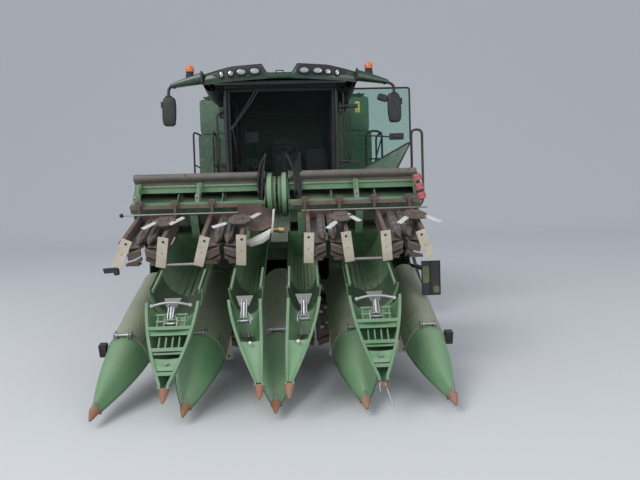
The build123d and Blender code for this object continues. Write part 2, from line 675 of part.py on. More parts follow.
def feeder_house():
    front = HEADER_BACK_Y + SEAT_GAP
    outer = ((front, 560), (front, 1190), (-420, 1960), (-60, 1880), (-60, 1500), (-500, 1330))
    inner = ((front - 1, 600), (front - 1, 1150), (-420, 1915), (-59, 1835), (-59, 1545), (-500, 1375))
    shape = side_prism(outer, -FEEDER_X, FEEDER_X) - side_prism(inner, -FEEDER_X + SHEET, FEEDER_X - SHEET)
    trunnion = x_cylinder(FEEDER_X, 700 - SEAT_GAP, FEEDER_PIVOT_Y, FEEDER_PIVOT_Z, 80)
    eye_y, eye_z = LIFT_EYE
    lug = side_prism(((eye_y - 60, eye_z - 40), (eye_y + 60, eye_z - 40), (eye_y + 60, 935), (eye_y - 60, 895)),
                     LIFT_X - 62, LIFT_X - 40)
    pin = x_cylinder(LIFT_X - 40, LIFT_X + 34, eye_y, eye_z, 22)
    return shape + both_sides(trunnion + lug + pin)


LIFT_ROD_R = 32
LIFT_BARREL_R = 48
LIFT_EYE_W = 60


def lift_point(distance):
    """The (y, z) at a distance from the base pin towards the rod's eye."""
    length = hypot(LIFT_EYE[0] - LIFT_BASE[0], LIFT_EYE[1] - LIFT_BASE[1])
    share = distance / length
    return (LIFT_BASE[0] + (LIFT_EYE[0] - LIFT_BASE[0]) * share,
            LIFT_BASE[1] + (LIFT_EYE[1] - LIFT_BASE[1]) * share)


LIFT_LENGTH = hypot(LIFT_EYE[0] - LIFT_BASE[0], LIFT_EYE[1] - LIFT_BASE[1])


def lift_segment(x, start, end, radius):
    a = lift_point(start)
    b = lift_point(end)
    return bar((x, *a), (x, *b), radius)


def lift_cylinder_barrels():
    barrel = lift_segment(LIFT_X, 82, 1000, LIFT_BARREL_R) - lift_segment(LIFT_X, 120, 1001, LIFT_ROD_R + SEAT_GAP)
    barrel += lift_segment(LIFT_X, 40, 83, LIFT_EYE_W / 2)
    eye = x_cylinder(LIFT_X - 30, LIFT_X + 30, *LIFT_BASE, 55)
    bore = x_cylinder(LIFT_X - 31, LIFT_X + 31, *LIFT_BASE, LIFT_PIN_R + SEAT_GAP)
    shape = barrel + eye - bore
    return group([shape, mirror(shape, Plane.YZ)])


def lift_cylinder_rods():
    rod = lift_segment(LIFT_X, 240, LIFT_LENGTH - 40, LIFT_ROD_R)
    eye = x_cylinder(LIFT_X - 30, LIFT_X + 30, *LIFT_EYE, 50)
    bore = x_cylinder(LIFT_X - 31, LIFT_X + 31, *LIFT_EYE, LIFT_PIN_R + SEAT_GAP + 4)
    shape = rod + eye - bore
    return group([shape, mirror(shape, Plane.YZ)])


# Corn header

def square_tube(beam, corner):
    """Rounds the long edges of a beam along x, as a rolled tube has them."""
    return fillet(beam.edges().filter_by(Axis.X), corner)


def frame_section(x0, x1, dividers, mouth):
    """Beams, back sheet, trough, end sheets and posts of one header section from x0 to x1."""
    back = HEADER_BACK_Y
    parts = [
        square_tube(block((x0, x1), (back - 155, back - 5), (395, 545)), 20),
        square_tube(block((x0, x1), (back - 100, back), (1290, 1385)), 12),
        sloped(square_tube(block((x0, x1), (620, 708), (-142, -54)), 10)),
        x_cylinder(x0, x1, *DRIVE_TUBE, DRIVE_TUBE_R),
    ]
    sheet = block((x0, x1), (back - 20, back), (500, 1300))
    if mouth:
        sheet -= block((-FEEDER_X + SHEET, FEEDER_X - SHEET), (back - 30, back + 1), (600, 1150))
    parts.append(sheet)
    auger_y, auger_z = CROSS_AUGER
    trough = x_cylinder(x0, x1, auger_y, auger_z, TROUGH_R + 7)
    trough -= x_cylinder(x0 - 1, x1 + 1, auger_y, auger_z, TROUGH_R)
    trough -= block((x0 - 1, x1 + 1), (auger_y - 400, auger_y + 400), (auger_z - 110, auger_z + 400))
    parts.append(trough)
    parts.append(block((x0, x1), (auger_y + 205, back), (auger_z - 117, auger_z - 110)))
    end = ((-3306, 1178), (-3330, 750), (-3246, 480), (back - 5, 395), (back - 5, 1385), (back - 90, 1385))
    parts += [side_prism(end, x0, x0 + 12), side_prism(end, x1 - 12, x1)]
    rib = ((-3215, 490), (back - 100, 490), (back - 100, 571), (-3215, 571))
    for x in (x0 + (x1 - x0) * 0.33, x0 + (x1 - x0) * 0.67):
        parts.append(side_prism(rib, x - 6, x + 6))
        parts.append(block((x - 28, x + 28), (-3215, back - 100), (563, 571)))
    for x, half, _ in dividers:
        parts.append(sloped(block((x - 40, x + 40), (640, HOOD_U[1]), (-60, HOOD_BASE_V - SEAT_GAP))))
    return joined(parts)


def hinge_ear(side_of_axis, u):
    """A fold hinge ear from the end sheet to the pin, in header axes on the +x side."""
    reach = 68 * side_of_axis
    points = ((FOLD_X - reach, 520), (FOLD_X + 0.35 * reach, 600), (FOLD_X + 0.35 * reach, 660),
              (FOLD_X - 0.35 * reach, 660), (FOLD_X - reach, 600))
    plane = Plane((0, u, 0), x_dir=(1, 0, 0), z_dir=(0, -1, 0))
    return extrude(plane * Polygon(*points, align=None), amount=40, dir=(0, -1, 0))


FOLD_PIN_R = 20
CENTER_EARS_U = (990, 1230)
WING_EARS_U = (1036, 1184)


def pin_along_u(x, v, u0, u1, radius):
    return Pos(x, u0, v) * Rot(-90, 0, 0) * Cylinder(radius, u1 - u0, align=(Align.CENTER, Align.CENTER, Align.MIN))


def header_frame():
    body = frame_section(-CENTER_END_X, CENTER_END_X, CENTER_DIVIDERS, True)
    ears = [sloped(hinge_ear(1, u)) for u in CENTER_EARS_U]
    pin = sloped(pin_along_u(FOLD_X, FOLD_V, CENTER_EARS_U[0] - 48, CENTER_EARS_U[1] + 8, FOLD_PIN_R))
    return body + both_sides(joined([*ears, pin]))


def end_drum():
    """The round drive housing on a wing's outer end, with its scalloped guard ring."""
    x0 = WING_FRAME_X[1]
    y, z = DRUM_AXIS
    ring = x_cylinder(x0 + 28, x0 + 68, y, z, DRUM_R)
    notch = x_cylinder(x0 + 27, x0 + 69, y + DRUM_R + 6, z, 15)
    turn = Axis((0, y, z), (1, 0, 0))
    ring -= [notch.rotate(turn, index * 360 / DRUM_SCALLOPS) for index in range(DRUM_SCALLOPS)]
    return x_cylinder(x0, x0 + 96, y, z, DRUM_R - 36) + ring


def crescent_guard():
    """The bent plate that stands at the inner end of the folded left wing, in machine axes."""
    outline = ThreePointArc((104, 2385), (190, 2130), (176, 1875)) + Line((176, 1875), (188, 1875))
    outline += ThreePointArc((188, 1875), (202, 2130), (116, 2385)) + Line((116, 2385), (104, 2385))
    plane = Plane((0, -3640, 0), x_dir=(1, 0, 0), z_dir=(0, -1, 0))
    plate = extrude(make_face(plane * outline), amount=160, dir=(0, -1, 0))
    return plate & x_cylinder(80, 230, -3560, 2130, 300)


def wing_frame(side):
    body = frame_section(WING_FRAME_X[0], WING_FRAME_X[1], WING_DIVIDERS, False) + end_drum()
    for u in WING_EARS_U:
        body += sloped(hinge_ear(-1, u))
    body -= sloped(pin_along_u(FOLD_X, FOLD_V, 900, 1300, FOLD_PIN_R + SEAT_GAP))
    guard = crescent_guard()
    return folded(body, side) + (guard if side > 0 else mirror(guard, Plane.YZ))


def flight(x0, x1, hand):
    """A helical flight round the cross auger's core, left-handed where hand is -1."""
    inner = AUGER_CORE_R - 5
    path = Helix(FLIGHT_PITCH, x1 - x0, (inner + FLIGHT_R) / 2, lefthand=hand < 0)
    blade = Plane.XZ * Pos((inner + FLIGHT_R) / 2, 0) * Rectangle(FLIGHT_R - inner, FLIGHT_T)
    return Pos(x0, *CROSS_AUGER) * Rot(0, 90, 0) * sweep(blade, path=path, is_frenet=True)


def cross_auger(x0, x1, hands):
    """A core on stub shafts with one flight for each of hands, from x0 to x1."""
    shape = x_cylinder(x0 + 60, x1 - 60, *CROSS_AUGER, AUGER_CORE_R)
    shape += x_cylinder(x0 + 12 + SEAT_GAP, x1 - 12 - SEAT_GAP, *CROSS_AUGER, 28)
    length = (x1 - x0 - 160) / len(hands)
    for index, hand in enumerate(hands):
        start = x0 + 80 + index * length
        shape += flight(start + 20, start + length - 20, hand)
    return shape


def chain_loop(x, side):
    """A gathering chain with its lugs, lying over the deck plate on one side of a row."""
    u0, u1, half = 40, 590, 42
    centre = x + side * 108
    outline = SlotCenterToCenter(u1 - u0, 2 * half)
    hole = SlotCenterToCenter(u1 - u0, 2 * half - 26)
    band = extrude(Pos(0, 0, 72) * (outline - hole), amount=22)
    band = Pos(centre, (u0 + u1) / 2, 0) * Rot(0, 0, 90) * band
    lugs = []
    for index in range(4):
        u = 70 + index * 150
        lugs.append(block(sorted((centre - side * (half - 6), centre - side * (half + 38))), (u, u + 16), (74, 112)))
        lugs.append(block(sorted((centre + side * (half - 6), centre + side * (half + 34))), (u + 60, u + 76), (74, 112)))
    posts = [Pos(centre, u, 56) * Cylinder(half - 12, 30, align=(Align.CENTER, Align.CENTER, Align.MIN)) for u in (u0, u1)]
    return joined([band, *lugs, *posts])


def chopper(x, angles):
    """A stalk chopper under a row unit: its drive housing, disc and knives, swung out to angles."""
    under = -54 + SEAT_GAP
    disc_v = under - 54
    shape = block((x - 34, x + 34), (CHOPPER_U - 34, 600), (under - 40, under))
    shape += Pos(x, CHOPPER_U, disc_v + 7) * Cylinder(CHOPPER_DISC_R, 14)
    shape += Pos(x, CHOPPER_U, disc_v - 6) * Cylinder(18, 14)
    reach = CHOPPER_DISC_R - 30
    edge = KNIFE_W / 2
    knife = Polygon((reach, -edge), (reach + KNIFE_L - 20, -edge), (reach + KNIFE_L, -edge + 15), (reach + KNIFE_L, edge),
                    (reach, edge), align=None)
    for angle in angles:
        shape += Pos(x, CHOPPER_U, disc_v + 3) * Rot(0, 0, angle) * extrude(knife, amount=8)
    return shape


# Angles of each folded row's two knives, as they hang in the photograph
LEFT_KNIVES = ((225, 315), (201, 296))
RIGHT_KNIVES = ((213, 358), (218, 26))
CENTER_KNIVES = ((20, 200), (65, 245), (20, 200), (65, 245))


def row_units(rows, knives, side):
    """The row units at rows. Their choppers all stand towards the machine's right when unfolded."""
    units = []
    for x, angles in zip(rows, knives):
        parts = [sloped(block((x - 165, x + 165), (ROLL_LENGTH + 16, 705), (-54 + SEAT_GAP, 50)))]
        for hand in (1, -1):
            arm_x = x + hand * ARM_OFFSET
            arm = block((arm_x - ARM_T / 2, arm_x + ARM_T / 2), (-60, 705), (-54 + SEAT_GAP, 52))
            wear = block((arm_x - 40, arm_x + 40), (-68, -60), (-95, 225))
            deck = block(sorted((x + hand * 24, x + hand * 200)), (30, 640), (50, 58))
            clamp = block((arm_x - 34, arm_x + 34), (604, 620 - SEAT_GAP), (-156, -50))
            clamp += block((arm_x - 34, arm_x + 34), (604, 716), (-156, -142 - SEAT_GAP))
            parts.append(sloped(joined([arm, wear, deck, clamp, chain_loop(x, hand)])))
        parts.append(sloped(chopper(x - side * CHOPPER_OFFSET, angles)))
        units.append(joined(parts))
    return units


def stalk_shield():
    """The curved sheet beside the outer row of the folded right wing, in machine axes."""
    outline = ThreePointArc((-4168, 1840), (-4222, 1640), (-4120, 1440)) + Line((-4120, 1440), (-4112, 1446))
    outline += ThreePointArc((-4112, 1446), (-4214, 1640), (-4160, 1840)) + Line((-4160, 1840), (-4168, 1840))
    sheet = extrude(make_face(Plane.YZ.offset(-300) * outline), amount=252, dir=(1, 0, 0))
    return sheet + block((-330, -290), (-4216, -4180), (1590, 1625))


def stalk_rolls(rows):
    """Pairs of fluted rolls with pointed noses."""
    rolls = []
    for x in rows:
        for side in (1, -1):
            axis_x = x + side * (ROLL_R + 8)
            core = pin_along_u(axis_x, 0, 90, ROLL_LENGTH + 16 - SEAT_GAP, ROLL_R - 14)
            nose = Pos(axis_x, 0, 0) * Rot(-90, 0, 0) * Cone(10, ROLL_R - 4, 90, align=(Align.CENTER, Align.CENTER, Align.MIN))
            blades = [Pos(axis_x, 0, 0) * Rot(0, turn, 0) * block((-4, 4), (90, ROLL_LENGTH), (-ROLL_R, ROLL_R))
                      for turn in (45, 135)]
            rolls.append(sloped(joined([core, nose, *blades])))
    return rolls


def half_oval(x, u, half, base, top):
    """A half ellipse standing on v = base, in the plane u."""
    plane = Plane((x, u, base), x_dir=(1, 0, 0), z_dir=(0, -1, 0))
    oval = Ellipse(half, top - base) & Pos(0, (top - base) / 2, 0) * Rectangle(2 * half + 2, top - base)
    return plane * oval


def hood(x, half, _):
    """A barrel hood over one divider, closed at its rear, with the ears and pin of its snout."""
    outer = half_oval(x, HOOD_U[1], half, HOOD_BASE_V, HOOD_TOP_V)
    inner = half_oval(x, HOOD_U[1] - HOOD_WALL, half - HOOD_WALL, HOOD_BASE_V - 1, HOOD_TOP_V - HOOD_WALL)
    length = HOOD_U[1] - HOOD_U[0]
    shell = extrude(outer, amount=length) - extrude(inner, amount=length)
    reach = EAR_SHARE * half
    for ear_x in (x - reach, x + reach):
        shell += block((ear_x - 6, ear_x + 6), (SNOUT_HINGE_U - 20, HOOD_U[0] + 40), (544, SNOUT_HINGE_V + 20))
    shell += Pos(x, SNOUT_HINGE_U, SNOUT_HINGE_V) * Rot(0, 90, 0) * Cylinder(PIN_R, 2 * reach + 20)
    return sloped(shell)


def snout(x, half, tip_offset):
    """An open-bottomed divider point with hinge arms and a pointed tip."""
    rear = half - HOOD_WALL - 6
    # u station, half width, base v, top v and sideways offset of each section
    stations = (
        (HOOD_U[0] + 30, rear, 240, HOOD_TOP_V - HOOD_WALL - 6, 0),
        (-800, rear * 0.74, 262, 478, tip_offset * 0.45),
        (SNOUT_TIP_U + 110, 46, 300, 382, tip_offset),
    )
    wall = 7
    outer = loft([half_oval(x + off, u, a, base, top) for u, a, base, top, off in stations], ruled=True)
    inner = loft([half_oval(x + off, u + 2 * (i == 0), a - wall, base - 1, top - wall)
                  for i, (u, a, base, top, off) in enumerate(stations)], ruled=True)
    tip_x = x + tip_offset
    cap = extrude(half_oval(tip_x, SNOUT_TIP_U + 110, 46, 300, 382), amount=8)
    tip = Pos(tip_x, SNOUT_TIP_U + 103, SNOUT_TIP_V) * Rot(90, 0, 0) * Cone(36, 3, 103, align=(Align.CENTER, Align.CENTER, Align.MIN))
    shape = outer - inner + cap + tip
    for lug_x in (x - LUG_SHARE * half, x + LUG_SHARE * half):
        shape += block((lug_x - 6, lug_x + 6), (SNOUT_HINGE_U - 20, SNOUT_HINGE_U + 10), (528, SNOUT_HINGE_V))
        shape += Pos(lug_x, SNOUT_HINGE_U, SNOUT_HINGE_V) * Rot(0, 90, 0) * Cylinder(20, 12)
    shape -= Pos(x, SNOUT_HINGE_U, SNOUT_HINGE_V) * Rot(0, 90, 0) * Cylinder(PIN_R + SEAT_GAP, 200)
    return sloped(shape)


def folded_hinge(side):
    """The (y, z) of the hanging snouts' hinge line once the wing is folded."""
    return from_header(SNOUT_HINGE_U, 2 * FOLD_V - SNOUT_HINGE_V)


def hanging_snouts(side):
    y, z = folded_hinge(side)
    hinge = Axis((0, y, z), (1, 0, 0))
    return [folded(snout(*row), side).rotate(hinge, SNOUT_DROP) for row in WING_DIVIDERS]


def wing_panel():
    """The red panel on a bracket at the fold end of the left wing."""
    plate = block((1462, 1578), (-3946, -3936), (1820, 2110))
    face_x = 2 * FOLD_X - WING_FRAME_X[0] + SEAT_GAP
    return plate + block((face_x, face_x + 16), (-3938, -3700), (1900, 1960))


def end_board():
    """The black board on a stay at the left end of the centre section."""
    plate = block((1478, 1672), (-4160, -4150), (835, 1190))
    face_x = CENTER_END_X + SEAT_GAP
    return plate + block((face_x, face_x + 16), (-4152, -3240), (1060, 1090))


def build():
    for side, name in ((1, "left"), (-1, "right")):
        front = Pos(side * FRONT_TRACK_X, 0, FRONT_AXLE_Z)
        rear = Pos(side * REAR_TRACK_X, WHEELBASE, REAR_AXLE_Z)
        write(f"front_tyre_{name}", front * tyre(FRONT_TYRE_D, FRONT_TYRE_W, FRONT_RIM_D, FRONT_LUGS))
        write(f"front_rim_{name}", front * rim(FRONT_RIM_D, FRONT_TYRE_W, FRONT_DISC_X, side))
        write(f"rear_tyre_{name}", rear * tyre(REAR_TYRE_D, REAR_TYRE_W, REAR_RIM_D, REAR_LUGS))
        write(f"rear_rim_{name}", rear * rim(REAR_RIM_D, REAR_TYRE_W, REAR_DISC_X, side))
        write(f"knuckle_{name}", knuckle(side))
        write(f"tank_cover_{name}", tank_cover(side))
        write(f"side_shield_{name}", side_shield(side))
        write(f"wing_frame_{name}", wing_frame(side))
        units = [folded(s, side) for s in row_units(WING_ROW_X, LEFT_KNIVES if side > 0 else RIGHT_KNIVES, side)]
        if side < 0:
            units[-1] += stalk_shield()
        write(f"wing_row_units_{name}", group(units))
        write(f"wing_stalk_rolls_{name}", group([folded(s, side) for s in stalk_rolls(WING_ROW_X)]))
        write(f"wing_hoods_{name}", group([folded(hood(*row), side) for row in WING_DIVIDERS]))
        write(f"wing_snouts_{name}", group(hanging_snouts(side)))
        write(f"wing_auger_{name}", folded(cross_auger(*WING_FRAME_X, (-1,)), side))
    rows = [side * x for x in ROW_X for side in (1, -1)]
    write("chassis_frame", chassis_frame())
    write("front_axle", front_axle())
    write("rear_axle", rear_axle())
    write("separator_body", separator_body())
    write("grain_tank", grain_tank())
    write("rear_hood", rear_hood())
    write("engine_block", engine_block())
    write("straw_chopper", straw_chopper())
    write("auger_turret", auger_turret())
    write("unloading_auger", unloading_auger())
    write("exhaust", exhaust())
    write("cab_shell", cab_shell())
    write("cab_glass", cab_glass())
    write("cab_roof", cab_roof())
    write("roof_lights", roof_lights())
    write("mirrors", mirrors())
    write("cab_interior", cab_interior())
    write("cab_door", cab_door())
    write("cab_door_glass", cab_door_glass())
    write("platform", platform())
    write("ladder", ladder())
    write("feeder_house", feeder_house())
    write("lift_cylinder_barrels", lift_cylinder_barrels())
    write("lift_cylinder_rods", lift_cylinder_rods())
    write("header_frame", header_frame())
    write("header_auger", cross_auger(-CENTER_END_X, CENTER_END_X, (1, -1)))
    write("row_units", group(row_units(rows, CENTER_KNIVES, 1)))
    write("stalk_rolls", group(stalk_rolls(rows)))
    write("hoods", group([hood(*row) for row in CENTER_DIVIDERS]))
    write("snouts", group([snout(*row) for row in CENTER_DIVIDERS]))
    write("wing_panel", wing_panel())
    write("end_board", end_board())


build()
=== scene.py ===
"""Dresses the combine harvester: weathered paint, the folded header, the cab and the wheels."""

import math

import bmesh
import bpy
from bpy.props import FloatProperty, FloatVectorProperty, IntProperty, PointerProperty
from mathutils import Matrix, Vector


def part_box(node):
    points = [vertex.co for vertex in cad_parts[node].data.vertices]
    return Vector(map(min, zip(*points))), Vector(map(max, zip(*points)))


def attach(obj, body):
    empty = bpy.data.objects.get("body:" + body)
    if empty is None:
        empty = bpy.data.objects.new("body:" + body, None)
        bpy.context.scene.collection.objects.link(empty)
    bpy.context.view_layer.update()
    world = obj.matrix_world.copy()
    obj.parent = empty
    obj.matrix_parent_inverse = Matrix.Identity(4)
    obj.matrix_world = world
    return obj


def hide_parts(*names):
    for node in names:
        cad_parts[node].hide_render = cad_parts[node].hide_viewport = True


bl_info = {
    "name": "Combine Harvester Dressing",
    "version": (1, 0, 0),
    "blender": (4, 5, 0),
    "location": "View3D > Sidebar > Combine",
    "description": "Builds the visible pieces of a combine harvester with a folded corn header",
    "category": "Add Mesh",
}

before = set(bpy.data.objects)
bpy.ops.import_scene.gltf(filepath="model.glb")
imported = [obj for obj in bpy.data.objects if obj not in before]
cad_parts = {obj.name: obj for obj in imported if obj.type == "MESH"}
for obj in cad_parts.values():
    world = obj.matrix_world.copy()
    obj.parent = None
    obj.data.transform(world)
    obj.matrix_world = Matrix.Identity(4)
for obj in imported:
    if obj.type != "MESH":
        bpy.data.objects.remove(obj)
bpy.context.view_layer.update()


def middle(node):
    """The middle of a CAD node's box."""
    low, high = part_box(node)
    return (Vector(low) + Vector(high)) / 2


# Pieces are modelled with the front axle over the origin and moved by this into the row frame.
SHIFT = Vector((middle("front_axle").x, middle("front_rim_left").y, 0))

WORLD = Matrix.Identity(4)
SIDES = (("left", 1), ("right", -1))
WELD = 1e-5

# Header: x across, u along the rows and v above them. Its slope and the spot (y, z) where u and v are 0
SLOPE = math.radians(24)
NOSE = (-3.9, 0.3)
# Fold axis of the wings (x, v), hinge of the divider points (u, v) and how far the folded points hang down
FOLD_X, FOLD_V = 1.568, 0.635
HINGE_U, HINGE_V = -0.486, 0.578
DROP = math.radians(30)
ROWS = (0.375, 1.125)
WING_ROWS = (1.875, 2.625)
# Middle, half width and offset of the tip of each divider, and the base height of its barrel hood
CENTER_DIVIDERS = ((0, 0.24, 0), (0.75, 0.24, 0), (-0.75, 0.24, 0), (1.435, 0.2, 0.055),
                   (-1.435, 0.2, -0.055))
WING_DIVIDERS = ((2.25, 0.24, 0), (2.876, 0.155, 0.14))
HOOD_BASE = 0.235
# How far the nose plates of each folded row lean out at their lower ends, near side first
LEANS = {("_left", 1.875): (7, 21), ("_left", 2.625): (-2, 8), ("_right", 1.875): (13, 28),
         ("_right", 2.625): (5, 18)}
# Each folded row's chopper: (x, u) of both ends of its blades, from its hub
CHOPPERS = {
    -1.261: ((-0.165, -0.172, -0.03, 0.044), (0.07, -0.09, 0.18, 0.079)),
    -0.511: ((-0.243, -0.187, -0.12, -0.096), (0.114, 0.017, 0.2, 0.14)),
    0.511: ((-0.15, -0.29, -0.06, -0.14), (0.063, 0.047, 0.175, -0.14)),
    1.261: ((-0.2, -0.22, -0.09, -0.07), (0.095, -0.06, 0.21, -0.22)),
}
CHOPPER_HUB = (0.15, 0.29, 1.27 + 0.098)
# Along each wing, as distances from the machine's middle: its ends, clamps, and strut tops and feet
WING_ENDS = (0.132, 1.544)
CLAMPS_X = ((0.299, 0.663, 1.035, 1.409), (0.671, 1.055, 1.427))
STRUTS_X = (((0.835, 0.873), (1.491, 1.53)), ((0.803, 0.857), (1.45, 1.52)))
DRUM_SPOT = (-3.6, 1.945)

# Cross augers: pitch, flight radius and tube radius
AUGER_PITCH, AUGER_RADIUS, AUGER_TUBE = 0.34, 0.207, 0.09
# Cab: the roof's half width, front, brow and rear, then the planes (y) and heights (z) of what is round it
ROOF_HALF = 1.153
ROOF_FRONT, ROOF_BROW, ROOF_REAR = -1.75, -0.62, 0.35
PANE_Y, DOOR_Y, TANK_Y = -1.512, -1.53, 0.3615
ARM_Y, MIRROR_Y = -1.63, -1.70
CAB_FLOOR = 2.115
DECK_Z = 2.09

# The photo's camera: spot, yaw, pitch and roll in degrees, and focal length on a 36 mm sensor
CAMERA_SPOT = (0.269, -9.2, 1.64)
CAMERA_TURN = (1.968, -2.279, 1.735)
CAMERA_LENS = 27.84
LAMP_TARGET = Vector((0, -2.5, 1.5))
LAMPS = (("sun_side", (-9, -14, 13), 1500, 9), ("front_fill", (8, -16, 5), 420, 8))


def shift(x=0, y=0, z=0):
    return Matrix.Translation((x, y, z))


def turned(degrees, axis):
    return Matrix.Rotation(math.radians(degrees), 4, axis)


def header_place():
    """Header coordinates (x, u along the rows, v above them) to machine ones."""
    c, s = math.cos(SLOPE), math.sin(SLOPE)
    return Matrix(((1, 0, 0, 0), (0, c, -s, NOSE[0]), (0, s, c, NOSE[1]), (0, 0, 0, 1)))


def wing_place(side):
    """The same for a wing, folded upside down over the centre."""
    fold = Matrix(((-side, 0, 0, 2 * side * FOLD_X), (0, 1, 0, 0), (0, 0, -1, 2 * FOLD_V), (0, 0, 0, 1)))
    return header_place() @ fold


def point_place(side):
    """The same for a wing's divider points, which hang from their hinges."""
    hinge = shift(0, HINGE_U, HINGE_V)
    return wing_place(side) @ hinge @ Matrix.Rotation(-DROP, 4, "X") @ hinge.inverted()


def mirror(points, side):
    """Points whose first coordinate is turned to a side."""
    return [(side * first, *rest) for first, *rest in points]


def circle(radius, count, z=0.0):
    """Points round a circle in the XY plane."""
    angles = [math.tau * k / count for k in range(count)]
    return [(radius * math.cos(a), radius * math.sin(a), z) for a in angles]


def bow(value, power):
    """A power that keeps the sign."""
    return math.copysign(abs(value) ** power, value)


# Sizes and colours

class CombinePaints(bpy.types.PropertyGroup):
    machine_green: FloatVectorProperty(
        name="Machine green", description="Paint of the body and roof", subtype="COLOR",
        default=(0.024, 0.098, 0.045), min=0, max=1)
    divider_green: FloatVectorProperty(
        name="Divider green", description="Paint of the header's dividers", subtype="COLOR",
        default=(0.12, 0.29, 0.13), min=0, max=1)
    dust: FloatVectorProperty(
        name="Dust", description="Dry field dust", subtype="COLOR", default=(0.34, 0.30, 0.24), min=0, max=1)
    rust: FloatVectorProperty(
        name="Rust", description="Rust on worn steel", subtype="COLOR", default=(0.11, 0.05, 0.032),
        min=0, max=1)
    wear_plate: FloatVectorProperty(
        name="Wear plate", description="Cream paint of the row units' nose plates", subtype="COLOR",
        default=(0.56, 0.49, 0.38), min=0, max=1)


class CombineHeader(bpy.types.PropertyGroup):
    shell_wall: FloatProperty(
        name="Shell wall", description="Thickness of the divider shells", unit="LENGTH", default=0.006,
        min=0.002, max=0.02)
    chain_pitch: FloatProperty(
        name="Chain pitch", description="Length of one gathering chain link", unit="LENGTH", default=0.042,
        min=0.02, max=0.08)
    roll_radius: FloatProperty(
        name="Roll radius", description="Radius over a stalk roll's flutes", unit="LENGTH", default=0.044,
        min=0.02, max=0.08)
    flutes: IntProperty(name="Flutes", description="Flutes on one stalk roll", default=6, min=3, max=12)


class CombineWheels(bpy.types.PropertyGroup):
    front_lugs: IntProperty(
        name="Front lugs", description="Tread lugs on each side of a front tyre", default=20, min=8, max=40)
    rear_lugs: IntProperty(
        name="Rear lugs", description="Tread lugs on each side of a rear tyre", default=18, min=8, max=40)
    lug_height: FloatProperty(
        name="Lug height", description="Height of the tread lugs", unit="LENGTH", default=0.042,
        min=0.01, max=0.08)


# Mesh helpers

